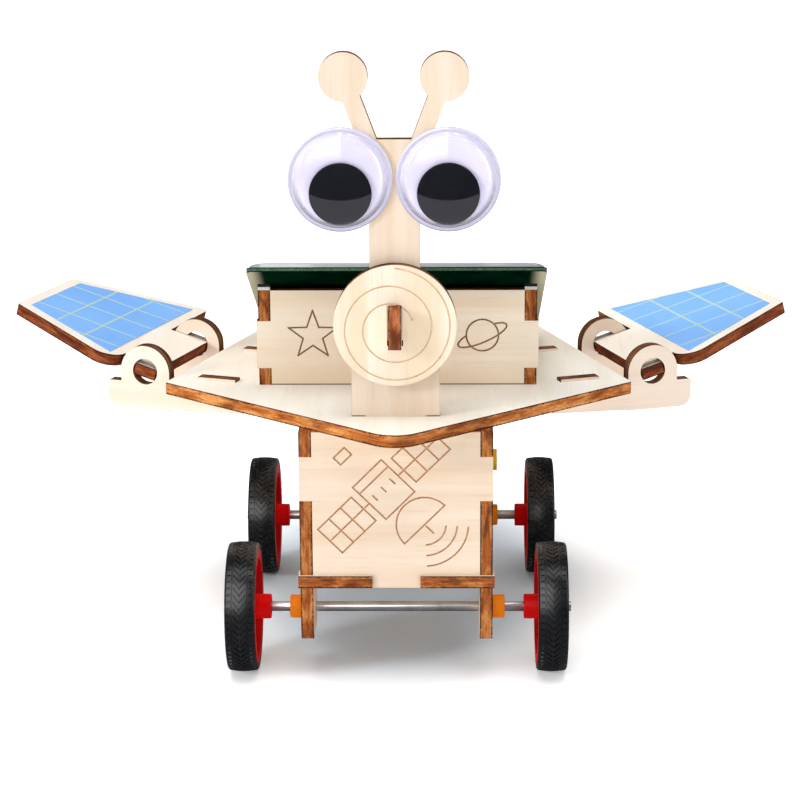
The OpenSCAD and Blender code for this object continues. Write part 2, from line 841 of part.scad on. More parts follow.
module tyre(axle_y, side) {
    w = tyre_w;
    shoulder = 1.1;
    bead_r = rim_r - 1;
    crown = 0.25;
    color(tyre_black) on_axle(axle_y, side, track / 2 - tyre_w / 2) rotate_extrude() polygon(concat(
        [[bead_r, 1.1], [rim_r, 0.6], [rim_r, 0], [wheel_r - shoulder - crown, 0]],
        [for (i = [0 : 6]) let (a = -90 + 90 * i / 6)
            [wheel_r - shoulder - crown + shoulder * cos(a), shoulder + shoulder * sin(a)]],
        [for (i = [1 : 9]) let (u = i / 10) [wheel_r - crown * pow(2 * u - 1, 2), shoulder + (w - 2 * shoulder) * u]],
        [for (i = [0 : 6]) let (a = 90 * i / 6)
            [wheel_r - shoulder - crown + shoulder * cos(a), w - shoulder + shoulder * sin(a)]],
        [[wheel_r - shoulder - crown, w], [rim_r, w], [rim_r, w - 0.6], [bead_r, w - 1.1]]
    ));
}

module front_axle() { axle(front_axle_y); }
module rear_axle() { axle(rear_axle_y); }
module front_collars() { collars(front_axle_y); }
module rear_collars() { collars(rear_axle_y); }
module front_left_rim() { rim(front_axle_y, -1); }
module front_right_rim() { rim(front_axle_y, 1); }
module rear_left_rim() { rim(rear_axle_y, -1); }
module rear_right_rim() { rim(rear_axle_y, 1); }
module front_left_tyre() { tyre(front_axle_y, -1); }
module front_right_tyre() { tyre(front_axle_y, 1); }
module rear_left_tyre() { tyre(rear_axle_y, -1); }
module rear_right_tyre() { tyre(rear_axle_y, 1); }

// ---- Motor and gears -----------------------------------------------------------------------

// Round can with two flats, grown by a fit allowance
module can_outline(grow) {
    intersection() {
        circle(can_r + grow);
        square([2 * can_r + 2, can_flat + 2 * grow], center = true);
    }
}

// Draws an outline in y and z about the motor's axis, from x to x + thickness
module on_motor(x, thickness) {
    translate([0, rear_axle_y, motor_z]) long_sheet(x, thickness) children();
}

module motor_can() {
    color(steel) difference() {
        on_motor(can_front_x, can_rear_x - can_front_x) can_outline(0);
        on_motor(can_front_x + can_wall, can_rear_x - can_front_x) can_outline(-can_wall);
        on_motor(can_front_x - 1, 3) circle(shaft_r + run_gap);
    }
}

module motor_magnets() {
    color("DimGray") on_motor(can_front_x + 3, 12) difference() {
        can_outline(-can_wall - 0.02);
        circle(rotor_r + 0.4);
        square([4, 2 * can_r], center = true);
    }
}

module motor_end_cap() {
    color("Gold") difference() {
        union() {
            on_motor(can_rear_x, cap_rear_x - can_rear_x) can_outline(0);
            on_motor(cap_rear_x - 0.5, boss_end_x - cap_rear_x + 0.5) circle(boss_r);
        }
        on_motor(can_rear_x - 1, 3) circle(shaft_r + run_gap);
    }
}

// Two brass tabs that stand out of the end cap
module motor_terminals() {
    color("Goldenrod") for (y = [-2, 2])
        translate([can_rear_x + 1, rear_axle_y + y - 0.7, motor_z + can_flat / 2])
            cube([0.4, 1.4, 2.6]);
}

// Armature and shaft, which turn as one
module motor_rotor() {
    color(steel) {
        on_motor(shaft_front_x, can_rear_x + 1.5 - shaft_front_x) circle(shaft_r);
        on_motor(can_front_x + 2, can_rear_x - can_front_x - 4) circle(rotor_r);
    }
}

// Involute of a base circle: the point reached at roll angle t, in degrees
function involute(base, t) = base * [cos(t) + t * PI / 180 * sin(t), sin(t) - t * PI / 180 * cos(t)];
function roll_to(base, r) = sqrt(pow(r / base, 2) - 1) * 180 / PI;
function turned(p, a) = [p[0] * cos(a) - p[1] * sin(a), p[0] * sin(a) + p[1] * cos(a)];

// Spur gear outline with one tooth centred on angle 0
module gear_outline(teeth) {
    pitch_r = gear_module * teeth / 2;
    base = pitch_r * cos(pressure_angle);
    tip = pitch_r + 0.95 * gear_module;
    root = pitch_r - 1.25 * gear_module;
    start = base > root ? base : root;
    pitch_roll = roll_to(base, pitch_r);
    pitch_point = involute(base, pitch_roll);
    half_tooth = 90 / teeth - tooth_backlash / (2 * pitch_r) * 180 / PI;
    flank_turn = half_tooth + atan2(pitch_point[1], pitch_point[0]);
    steps = 5;
    flank = [
        for (i = [0 : steps])
            let (r = start + (tip - start) * i / steps)
            turned(involute(base, roll_to(base, r)), -flank_turn)
    ];
    root_half = 180 / teeth;
    polygon([
        for (k = [0 : teeth - 1])
            let (a = 360 * k / teeth)
            each concat(
                [root * [cos(a - root_half), sin(a - root_half)],
                 root * [cos(a - flank_turn), sin(a - flank_turn)]],
                [for (p = flank) turned(p, a)],
                [for (i = [steps : -1 : 0]) turned([flank[i][0], -flank[i][1]], a)],
                [root * [cos(a + flank_turn), sin(a + flank_turn)]]
            )
    ]);
}

module pinion() {
    color("White") on_motor(pinion_x, pinion_t) difference() {
        rotate(-90 + 180 / pinion_teeth) gear_outline(pinion_teeth);
        circle(shaft_r);
    }
}

module axle_gear() {
    web_hole_r = 1.9;
    web_hole_at = 6;
    hole_count = 6;
    color("White") translate([0, rear_axle_y, wheel_r]) {
        long_sheet(gear_x, gear_t) difference() {
            rotate(90) gear_outline(gear_teeth);
            circle(axle_r);
            for (i = [0 : hole_count - 1]) rotate(i * 360 / hole_count)
                translate([web_hole_at, 0]) circle(web_hole_r);
        }
        long_sheet(gear_x + gear_t - small, 2) difference() {
            circle(2.6);
            circle(axle_r);
        }
    }
}

// ---- Wires ---------------------------------------------------------------------------------

// A wire through a list of points
module wire(points) {
    for (i = [0 : len(points) - 2]) hull() {
        translate(points[i]) sphere(wire_r, $fn = 14);
        translate(points[i + 1]) sphere(wire_r, $fn = 14);
    }
}

// From a motor terminal, up through the hole in the deck, to a pad under the panel
function wire_path(side) =
    let (pad_y = wire_hole[1] - 6,
         x = wire_hole[0] + side * 0.9)
    [[can_rear_x + 1.2, rear_axle_y + side * 2, motor_z + can_flat / 2 + 2.6 + wire_r],
     [can_rear_x + 0.2, rear_axle_y + side * 1.8, 40],
     [x + 1, wire_hole[1] + 4, 48],
     [x, wire_hole[1], deck_top],
     [x - 1, wire_hole[1] - 2, deck_top + 4],
     [x - 3 + side * 2, pad_y, panel_under_z(pad_y) - wire_r / cos(panel_slope) - 0.05]];

module red_wire() {
    color("Red") wire(wire_path(1));
}

module black_wire() {
    color([0.1, 0.1, 0.1]) wire(wire_path(-1));
}

// ---- Nodes ---------------------------------------------------------------------------------

deck_plate();
chassis_front_plate();
chassis_rear_plate();
chassis_left_side();
chassis_right_side();
chassis_bottom_plate();
motor_bulkhead();
box_front_plate();
box_left_side();
box_right_side();
neck_plate();
nose_disc();
nose_peg();
left_front_arm();
left_rear_arm();
right_front_arm();
right_rear_arm();
left_wing_plate();
right_wing_plate();
left_wing_film();
right_wing_film();
panel_board();
panel_cells();
panel_tape();
left_eye_back();
left_eye_dome();
left_pupil();
right_eye_back();
right_eye_dome();
right_pupil();
front_axle();
rear_axle();
front_collars();
rear_collars();
front_left_rim();
front_right_rim();
rear_left_rim();
rear_right_rim();
front_left_tyre();
front_right_tyre();
rear_left_tyre();
rear_right_tyre();
motor_can();
motor_magnets();
motor_end_cap();
motor_terminals();
motor_rotor();
pinion();
axle_gear();
red_wire();
black_wire();
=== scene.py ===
"""Solar robot kit: the looks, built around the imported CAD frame.

Everything is in metres in the row frame: +X right seen from the front, +Y backwards, +Z up.
"""
import json
import math

import bmesh
import bpy
from mathutils import Matrix, Vector


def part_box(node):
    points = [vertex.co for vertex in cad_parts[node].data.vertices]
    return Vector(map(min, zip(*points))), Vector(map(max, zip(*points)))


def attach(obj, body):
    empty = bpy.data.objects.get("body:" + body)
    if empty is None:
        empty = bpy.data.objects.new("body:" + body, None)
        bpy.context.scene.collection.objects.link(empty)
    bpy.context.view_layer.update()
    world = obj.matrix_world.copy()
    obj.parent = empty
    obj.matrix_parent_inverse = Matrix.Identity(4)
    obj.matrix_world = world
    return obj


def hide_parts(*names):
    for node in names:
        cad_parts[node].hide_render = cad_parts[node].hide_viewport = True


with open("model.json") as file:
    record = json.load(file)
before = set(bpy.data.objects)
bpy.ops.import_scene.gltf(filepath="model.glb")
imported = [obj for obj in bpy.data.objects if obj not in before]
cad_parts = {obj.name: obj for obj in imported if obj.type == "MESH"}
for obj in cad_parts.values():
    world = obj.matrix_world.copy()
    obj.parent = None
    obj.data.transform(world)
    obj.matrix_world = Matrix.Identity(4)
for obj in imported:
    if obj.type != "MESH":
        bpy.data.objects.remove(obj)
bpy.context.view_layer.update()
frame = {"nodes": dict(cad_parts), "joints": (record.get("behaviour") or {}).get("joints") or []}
nodes = frame["nodes"]
joints = {j["name"]: j for j in frame["joints"]}

MM = 0.001
X, Y, Z = Vector((1, 0, 0)), Vector((0, 1, 0)), Vector((0, 0, 1))
SIDES = ("left", "right")
ENGRAVE_DEPTH = 0.3 * MM
SHARP_ANGLE = 35


# ---- Shader helpers ---------------------------------------------------------------------------

def srgb(red, green, blue):
    """Linear colour of an 8-bit sRGB colour."""
    def linear(value):
        share = value / 255
        return share / 12.92 if share <= 0.04045 else ((share + 0.055) / 1.055) ** 2.4
    return (linear(red), linear(green), linear(blue), 1)


class Shader:
    """One node material, with short calls for the nodes that the materials here use."""

    def __init__(self, name):
        self.material = bpy.data.materials.new(name)
        self.material.use_nodes = True
        self.tree = self.material.node_tree
        self.tree.nodes.clear()
        self.output = self.tree.nodes.new("ShaderNodeOutputMaterial")
        coordinates = self.tree.nodes.new("ShaderNodeTexCoord")
        self.position = coordinates.outputs["Object"]
        self.normal = coordinates.outputs["Normal"]
        self.mirror = coordinates.outputs["Reflection"]

    def feed(self, socket, value):
        if isinstance(value, bpy.types.NodeSocket):
            self.tree.links.new(value, socket)
        elif value is not None:
            socket.default_value = value

    def math(self, operation, a, b=None, c=None, clamp=False):
        node = self.tree.nodes.new("ShaderNodeMath")
        node.operation = operation
        node.use_clamp = clamp
        for socket, value in zip(node.inputs, (a, b, c)):
            self.feed(socket, value)
        return node.outputs[0]

    def dot(self, a, b):
        node = self.tree.nodes.new("ShaderNodeVectorMath")
        node.operation = "DOT_PRODUCT"
        self.feed(node.inputs[0], a)
        self.feed(node.inputs[1], b)
        return node.outputs["Value"]

    def vector(self, x, y, z):
        node = self.tree.nodes.new("ShaderNodeCombineXYZ")
        for socket, value in zip(node.inputs, (x, y, z)):
            self.feed(socket, value)
        return node.outputs[0]

    def split(self, vector):
        node = self.tree.nodes.new("ShaderNodeSeparateXYZ")
        self.feed(node.inputs[0], vector)
        return node.outputs

    def noise(self, vector, scale, detail=2.0, roughness=0.5, distortion=0.0):
        node = self.tree.nodes.new("ShaderNodeTexNoise")
        self.feed(node.inputs["Vector"], vector)
        node.inputs["Scale"].default_value = scale
        node.inputs["Detail"].default_value = detail
        node.inputs["Roughness"].default_value = roughness
        node.inputs["Distortion"].default_value = distortion
        return node.outputs["Fac"]

    def smooth(self, value, low, high, to_low=0.0, to_high=1.0):
        """Value moved smoothly from low..high to to_low..to_high."""
        node = self.tree.nodes.new("ShaderNodeMapRange")
        node.interpolation_type = "SMOOTHSTEP"
        for socket, number in zip(node.inputs, (value, low, high, to_low, to_high)):
            self.feed(socket, number)
        return node.outputs[0]

    def mix(self, share, a, b):
        node = self.tree.nodes.new("ShaderNodeMix")
        node.data_type = "RGBA"
        self.feed(node.inputs[0], share)
        self.feed(node.inputs[6], a)
        self.feed(node.inputs[7], b)
        return node.outputs[2]

    def bump(self, height, distance, strength=1.0):
        node = self.tree.nodes.new("ShaderNodeBump")
        node.inputs["Strength"].default_value = strength
        node.inputs["Distance"].default_value = distance
        self.feed(node.inputs["Height"], height)
        return node.outputs["Normal"]

    def principled(self, **inputs):
        node = self.tree.nodes.new("ShaderNodeBsdfPrincipled")
        for name, value in inputs.items():
            self.feed(node.inputs[name.replace("_", " ")], value)
        return node.outputs[0]

    def finish(self, shader):
        self.tree.links.new(shader, self.output.inputs["Surface"])
        return self.material


# ---- Wood -------------------------------------------------------------------------------------

def extent(mesh, direction):
    """Lowest and highest reach of a mesh along a direction."""
    reach = [v.co.dot(direction) for v in mesh.vertices]
    return min(reach), max(reach)


def thickness_axis(mesh):
    """Direction that the largest flat faces of a plate look along."""
    areas = {}
    for face in mesh.polygons:
        normal = face.normal
        if normal.dot(Vector((0.31, 0.59, 0.83))) < 0:
            normal = -normal
        key = tuple(round(c, 3) for c in normal)
        areas[key] = areas.get(key, 0) + face.area
    return Vector(max(areas, key=areas.get)).normalized()


def grain_axis(mesh, thickness):
    """The longer of the plate's two directions in its plane."""
    across = thickness.cross(X if abs(thickness.z) > 0.9 else Z).normalized()
    choices = (across, thickness.cross(across).normalized())
    return max(choices, key=lambda d: extent(mesh, d)[1] - extent(mesh, d)[0])


# Scorched, middle and light colours of the burnt edges
EDGE_TONES = {
    "golden": (srgb(110, 48, 10), srgb(184, 104, 42), srgb(222, 152, 84)),
    "amber": (srgb(76, 30, 8), srgb(158, 84, 34), srgb(196, 126, 66)),
    "sienna": (srgb(70, 26, 8), srgb(150, 78, 38), srgb(196, 120, 72)),
    "umber": (srgb(58, 28, 14), srgb(104, 60, 34), srgb(140, 90, 56)),
    "russet": (srgb(64, 20, 6), srgb(126, 56, 20), srgb(158, 84, 40)),
}
BORDER = srgb(46, 18, 6)
# By what the node's name holds: pale wood, its deeper bands and its pores
FACE_TONES = {
    "deck": (srgb(250, 243, 232), srgb(244, 234, 219), srgb(222, 204, 180)),
    "box": (srgb(244, 231, 212), srgb(235, 215, 189), srgb(214, 186, 152)),
    "neck": (srgb(233, 216, 197), srgb(223, 200, 173), srgb(203, 172, 139)),
    "chassis": (srgb(229, 209, 189), srgb(219, 194, 167), srgb(200, 168, 135)),
    "wing": (srgb(250, 239, 225), srgb(244, 230, 212), srgb(222, 202, 176)),
    "arm": (srgb(244, 227, 211), srgb(236, 213, 192), srgb(216, 186, 158)),
    "plate": (srgb(241, 226, 206), srgb(231, 210, 182), srgb(210, 181, 146)),
}
# Walls and floors of the engraved lines, and how strong the smoke stain beside the cuts is
ENGRAVED = {
    "box_front_plate": (srgb(156, 112, 76), srgb(182, 138, 100), 0.4),
    "chassis_front_plate": (srgb(206, 158, 114), srgb(226, 184, 142), 0.25),
    "nose_disc": (srgb(242, 214, 182), srgb(248, 226, 198), 0.12),
}
UNCUT_STAIN = 0.5
STAIN_WIDTH = 0.16 * MM
SMOKE = srgb(150, 98, 56)
# Painted shade for the gap where a plate stands on the deck
FOOT_SHADE = srgb(88, 62, 42)
# Painted shade for the deck's tail: it lies in full light, so it is drawn a little darker than the
# deck under the head
TAIL_SHADE = srgb(208, 186, 158)


def plywood(name, mesh, seed, tone, face_tone, engraved=None, grain=None):
    """Pale laser-cut plywood: fine grain on the faces, burnt plies on the edges."""
    thick = thickness_axis(mesh)
    along = grain or grain_axis(mesh, thick)
    cross = thick.cross(along)
    low, high = extent(mesh, thick)
    scorch, middle, light = EDGE_TONES[tone]
    pale, deep, pore = FACE_TONES[face_tone]
    s = Shader(name)

    depth = s.math("SUBTRACT", s.dot(s.position, thick), low)
    run = s.dot(s.position, along)
    side = s.dot(s.position, cross)
    looks_out = s.math("ABSOLUTE", s.dot(s.normal, thick))
    on_face = s.smooth(looks_out, 0.6, 0.85)
    inner = s.math("MULTIPLY",
                   s.math("GREATER_THAN", depth, ENGRAVE_DEPTH / 2),
                   s.math("LESS_THAN", depth, high - low - ENGRAVE_DEPTH / 2))

    def place(along_scale, cross_scale, depth_scale=0.0):
        return s.vector(s.math("MULTIPLY", run, along_scale),
                        s.math("MULTIPLY", side, cross_scale),
                        s.math("MULTIPLY_ADD", depth, depth_scale, seed))

    # Face: broad soft bands and fine pores, both drawn out along the grain
    bands = s.noise(place(9.0, 150.0), 1.0, 3.0, 0.55, 0.35)
    pores = s.noise(place(90.0, 2400.0), 1.0, 2.0, 0.6)
    clouds = s.noise(place(38.0, 60.0), 1.0, 2.0)
    face = s.mix(s.smooth(bands, 0.34, 0.68), deep, pale)
    face = s.mix(s.smooth(pores, 0.56, 0.75, 0.0, 0.3), face, pore)
    face = s.mix(s.smooth(clouds, 0.5, 0.8, 0.0, 0.4), face, deep)

    # Edge: scorched streaks that follow the cut, with glue lines between the plies
    streaks = s.noise(place(150.0, 150.0, 900.0), 1.0, 3.0, 0.6, 0.6)
    patches = s.noise(place(130.0, 130.0, 420.0), 1.0, 2.0, 0.5, 0.4)
    fibres = s.noise(place(1500.0, 1500.0, 2600.0), 1.0, 2.0, 0.6)
    from_middle = s.math("ABSOLUTE", s.math("SUBTRACT", s.math("DIVIDE", depth, high - low), 0.5))
    teeth = s.noise(place(2000.0, 2000.0, 150.0), 1.0, 1.0)
    rough = s.math("MULTIPLY_ADD", s.math("SUBTRACT", teeth, 0.5), 0.22, from_middle)
    wavy = s.math("MULTIPLY_ADD", s.math("SUBTRACT", streaks, 0.5), 0.08, rough)
    edge = s.mix(s.smooth(streaks, 0.36, 0.56), light, middle)
    edge = s.mix(s.smooth(patches, 0.5, 0.68, 0.0, 0.7), edge, scorch)
    edge = s.mix(s.smooth(streaks, 0.55, 0.68, 0.0, 0.65), edge, scorch)
    edge = s.mix(s.smooth(fibres, 0.35, 0.75, 0.0, 0.3), edge, scorch)
    glue = s.math("MULTIPLY", s.smooth(wavy, 0.14, 0.17), s.smooth(wavy, 0.21, 0.18))
    edge = s.mix(s.math("MULTIPLY", glue, 0.35), edge, scorch)
    edge = s.mix(s.smooth(wavy, 0.36, 0.46, 0.0, 0.95), edge, BORDER)

    # Engraved lines: their walls on the edge colours, their floors on the face colours
    stain = UNCUT_STAIN
    if engraved:
        dark, pale_line, stain = engraved
        line = s.mix(s.smooth(fibres, 0.35, 0.65), dark, pale_line)
        edge = s.mix(s.smooth(depth, 1.2 * ENGRAVE_DEPTH, ENGRAVE_DEPTH, 0.0, 0.95), edge, line)
        face = s.mix(inner, face, line)

    # Smoke stain beside the cuts, and a painted shade line where a plate stands on the deck
    corner = s.tree.nodes.new("ShaderNodeBevel")
    corner.samples = 6
    corner.inputs["Radius"].default_value = STAIN_WIDTH
    true_normal = s.tree.nodes.new("ShaderNodeNewGeometry").outputs["Normal"]
    near_cut = s.smooth(s.dot(corner.outputs[0], true_normal), 0.999, 0.93)
    face = s.mix(s.math("MULTIPLY", near_cut, stain), face, SMOKE)
    # Painted shade: a dark line along the plate's foot beside its tab, where the gap on the deck
    # lies in shadow
    if name.endswith(("box_front_plate", "neck_plate")):
        across, _, height = s.split(s.position)
        above_deck = s.math("SUBTRACT", height, extent(nodes["deck_plate"].data, Z)[1])
        outside_tab = s.smooth(s.math("ABSOLUTE", across), 5.6 * MM, 6.2 * MM)
        near_deck = s.smooth(above_deck, 0.32 * MM, 0.16 * MM, 0.0, 0.85)
        foot_shade = s.math("MULTIPLY", near_deck, outside_tab)
        face = s.mix(foot_shade, face, FOOT_SHADE)

    if name.endswith("deck_plate"):
        # Painted shade: the deck behind the head, which lies in full light, is drawn darker
        behind_head = s.smooth(s.split(s.position)[1], -30 * MM, 10 * MM, 0.0, 0.5)
        face = s.mix(behind_head, face, TAIL_SHADE)

    colour = s.mix(on_face, edge, face)
    height = s.math("ADD", s.math("MULTIPLY", pores, 0.5),
                    s.math("MULTIPLY", fibres, s.math("SUBTRACT", 1.0, on_face)))
    return s.finish(s.principled(
        Base_Color=colour,
        Roughness=s.smooth(looks_out, 0.6, 0.85, 0.8, 0.55),
        Specular_IOR_Level=0.15,
        Normal=s.bump(height, 0.04 * MM, 0.5)))


# ---- Other materials --------------------------------------------------------------------------

def moulded_plastic(name, colour, deep, roughness=0.32, gloss=0.25, through=0.0, cast=None):
    """Moulded plastic with faint flow marks and a fine uneven gloss.

    Through is the share of light that passes under its skin, and cast its colour for bounced light.
    """
    s = Shader(name)
    flow = s.noise(s.position, 140.0, 3.0, 0.5, 0.8)
    fine = s.noise(s.position, 2800.0, 2.0)
    body = s.mix(s.smooth(flow, 0.3, 0.75), colour, deep)
    if cast:
        bounced = s.tree.nodes.new("ShaderNodeLightPath").outputs["Is Diffuse Ray"]
        body = s.mix(bounced, body, cast)
    return s.finish(s.principled(
        Base_Color=body,
        Roughness=s.smooth(fine, 0.3, 0.7, roughness - 0.06, roughness + 0.08),
        Subsurface_Weight=through,
        Subsurface_Radius=(1 * MM, 0.5 * MM, 0.3 * MM),
        Specular_IOR_Level=gloss,
        Normal=s.bump(fine, 0.02 * MM, 0.3)))


def pupil_plastic():
    """Matt black disc; the gloss on it belongs to the dome in front."""
    s = Shader("pupil_plastic")
    fine = s.noise(s.position, 900.0, 3.0)
    return s.finish(s.principled(Base_Color=s.mix(fine, srgb(12, 14, 20), srgb(20, 22, 29)),
                                 Roughness=0.6, Specular_IOR_Level=0.08))


def tyre_rubber():
    """Black rubber with a satin face and a little dust."""
    s = Shader("tyre_rubber")
    dust = s.noise(s.position, 260.0, 4.0, 0.6)
    fine = s.noise(s.position, 3200.0, 2.0)
    return s.finish(s.principled(
        Base_Color=s.mix(s.smooth(dust, 0.45, 0.8), srgb(10, 12, 14), srgb(20, 21, 23)),
        Roughness=s.smooth(dust, 0.3, 0.8, 0.26, 0.32),
        Specular_IOR_Level=0.45,
        Normal=s.bump(fine, 0.03 * MM, 0.35)))


def drawn_steel(name, axis, shade=200, roughness=0.24):
    """Bright steel with fine lines around or along an axis."""
    s = Shader(name)
    lines = s.noise(s.vector(*(s.math("MULTIPLY", part, 60.0 if abs(axis[i]) > 0.5 else 3600.0)
                               for i, part in enumerate(s.split(s.position)))), 1.0, 3.0)
    stain = s.noise(s.position, 220.0, 3.0)
    return s.finish(s.principled(
        Base_Color=s.mix(s.smooth(stain, 0.4, 0.8), srgb(shade, shade, shade + 2),
                         srgb(shade - 34, shade - 36, shade - 36)),
        Metallic=1.0,
        Roughness=s.smooth(lines, 0.3, 0.7, roughness - 0.04, roughness + 0.06),
        Normal=s.bump(lines, 0.004 * MM, 0.2)))


def wing_print():
    """Blue printed film with a faint halftone and a satin face."""
    s = Shader("wing_print_blue")
    cloud = s.noise(s.position, 60.0, 2.0)
    dots = s.noise(s.position, 2600.0, 2.0, 0.7)
    blue = s.mix(s.smooth(cloud, 0.3, 0.7), srgb(126, 180, 246), srgb(134, 187, 250))
    blue = s.mix(s.smooth(dots, 0.5, 0.8, 0.0, 0.25), blue, srgb(114, 169, 240))
    return s.finish(s.principled(Base_Color=blue, Roughness=0.5, Specular_IOR_Level=0.3,
                                 Normal=s.bump(dots, 0.01 * MM, 0.3)))


def print_lines():
    """Pale yellow-green ink on the blue film."""
    s = Shader("wing_print_lines")
    dots = s.noise(s.position, 2400.0, 2.0, 0.7)
    return s.finish(s.principled(
        Base_Color=s.mix(s.smooth(dots, 0.35, 0.75), srgb(198, 220, 184), srgb(178, 206, 196)),
        Roughness=0.5, Specular_IOR_Level=0.3))


def circuit_board():
    """Green board: glossy solder mask on the faces, raw glass fibre weave on the cut edge, and
    painted light on the faces beyond the box's sides.
    """
    s = Shader("circuit_board")
    thick = thickness_axis(nodes["panel_board"].data)
    on_face = s.smooth(s.math("ABSOLUTE", s.dot(s.normal, thick)), 0.6, 0.8)
    cloud = s.noise(s.position, 90.0, 3.0)
    low, high = extent(nodes["panel_board"].data, thick)
    share = s.math("DIVIDE", s.math("SUBTRACT", s.dot(s.position, thick), low), high - low)
    mask = s.mix(s.smooth(cloud, 0.3, 0.7), srgb(0, 12, 6), srgb(2, 30, 16))
    # Painted light: beyond the box's sides the board's faces are drawn pale grey-green, standing in
    # for the light that the underside catches outside the box's shade
    from_middle = s.math("ABSOLUTE", s.split(s.position)[0])
    mask = s.mix(s.smooth(from_middle, 26.5 * MM, 29.5 * MM), mask, srgb(172, 168, 144))
    fibre = s.noise(s.position, 2200.0, 3.0)
    cut = s.mix(s.smooth(fibre, 0.35, 0.65), srgb(62, 84, 68), srgb(82, 106, 88))
    cut = s.mix(s.smooth(share, 0.72, 0.8), cut, srgb(22, 30, 26))
    cut = s.mix(s.smooth(share, 0.26, 0.2), cut, srgb(12, 26, 16))
    return s.finish(s.principled(
        Base_Color=s.mix(on_face, cut, mask), Roughness=s.smooth(on_face, 0, 1, 0.6, 0.16),
        Specular_IOR_Level=0.0,
        Normal=s.bump(fibre, 0.02 * MM, 0.3)))


def silicon(slope_along):
    """Dark blue cell with fine silver fingers across the slope."""
    s = Shader("silicon_cell")
    along = s.dot(s.position, slope_along)
    finger_gap, finger_w = 1.25 * MM, 0.11 * MM
    stripe = s.math("PINGPONG", along, finger_gap / 2)
    finger = s.math("LESS_THAN", stripe, finger_w / 2)
    crystal = s.tree.nodes.new("ShaderNodeTexVoronoi")
    s.feed(crystal.inputs["Vector"], s.position)
    crystal.inputs["Scale"].default_value = 260.0
    flake = s.split(crystal.outputs["Color"])[0]
    blue = s.mix(flake, srgb(14, 22, 62), srgb(28, 46, 104))
    return s.finish(s.principled(
        Base_Color=s.mix(finger, blue, srgb(176, 180, 188)),
        Metallic=s.math("MULTIPLY", finger, 0.7),
        Roughness=s.smooth(flake, 0, 1, 0.25, 0.4)))


def tinned():
    """Dull solder and tinned copper."""
    s = Shader("tinned_copper")
    lumps = s.noise(s.position, 900.0, 3.0)
    return s.finish(s.principled(
        Base_Color=s.mix(lumps, srgb(196, 198, 202), srgb(150, 152, 158)), Metallic=1.0,
        Roughness=s.smooth(lumps, 0.3, 0.7, 0.2, 0.42), Normal=s.bump(lumps, 0.05 * MM, 0.5)))


def clear_resin(name, tint, edge_tint, thick):
    """Clear resin slab: see-through from above, milky where it was cut."""
    s = Shader(name)
    cloud = s.noise(s.position, 320.0, 3.0)
    on_face = s.smooth(s.math("ABSOLUTE", s.dot(s.normal, thick)), 0.5, 0.9)
    clear = s.tree.nodes.new("ShaderNodeBsdfTransparent")
    clear.inputs[0].default_value = tint
    milky = s.principled(Base_Color=s.mix(cloud, edge_tint, srgb(150, 158, 158)), Roughness=0.35)
    gloss = s.tree.nodes.new("ShaderNodeBsdfGlossy")
    s.feed(gloss.inputs["Roughness"], s.smooth(cloud, 0.3, 0.7, 0.05, 0.07))
    body = s.tree.nodes.new("ShaderNodeMixShader")
    s.feed(body.inputs[0], on_face)
    s.feed(body.inputs[1], milky)
    s.feed(body.inputs[2], clear.outputs[0])
    fresnel = s.tree.nodes.new("ShaderNodeFresnel")
    fresnel.inputs["IOR"].default_value = 1.5
    shell = s.tree.nodes.new("ShaderNodeMixShader")
    s.feed(shell.inputs[0], fresnel.outputs[0])
    s.feed(shell.inputs[1], body.outputs[0])
    s.feed(shell.inputs[2], gloss.outputs[0])
    return s.finish(shell.outputs[0])


# Brightness of the painted reflections of the studio on the domes, and the most of it that they add
SHEET, WINDOW, STRIP = 1.1, 5.0, 8.0
MOST_GLOSS = 0.07


def painted_studio_reflection(s):
    """Painted reflection: an emission strength that stands in for what a clear dome mirrors of the
    studio, drawn from the direction that it mirrors.
    """
    sideways, back, up = s.split(s.mirror)
    ahead = s.math("MULTIPLY", back, -1.0)
    azimuth = s.math("DIVIDE", sideways, s.math("MAXIMUM", ahead, 0.05))
    run_out = s.math("DIVIDE", ahead, s.math("MAXIMUM", s.math("MULTIPLY", up, -1.0), 0.01))
    sheet = s.math("MULTIPLY", s.smooth(run_out, 2.2, 2.05), s.math("LESS_THAN", up, 0.0))
    window = s.math("MULTIPLY", s.smooth(azimuth, 0.02, -0.04), s.smooth(azimuth, -1.6, -0.9))
    window = s.math("MULTIPLY", window, s.smooth(up, 0.1, 0.5))
    strip_side = s.math("MULTIPLY", s.smooth(azimuth, 1.5, 1.8), s.smooth(azimuth, 3.2, 2.6))
    strip_ends = s.math("MULTIPLY", s.smooth(up, -0.3, 0.1), s.smooth(up, 0.75, 0.5))
    strip = s.math("MULTIPLY", strip_side, strip_ends)
    painted_glow = s.math("MULTIPLY", sheet, SHEET)
    painted_glow = s.math("MULTIPLY_ADD", window, WINDOW, painted_glow)
    return s.math("MULTIPLY_ADD", strip, STRIP, painted_glow)


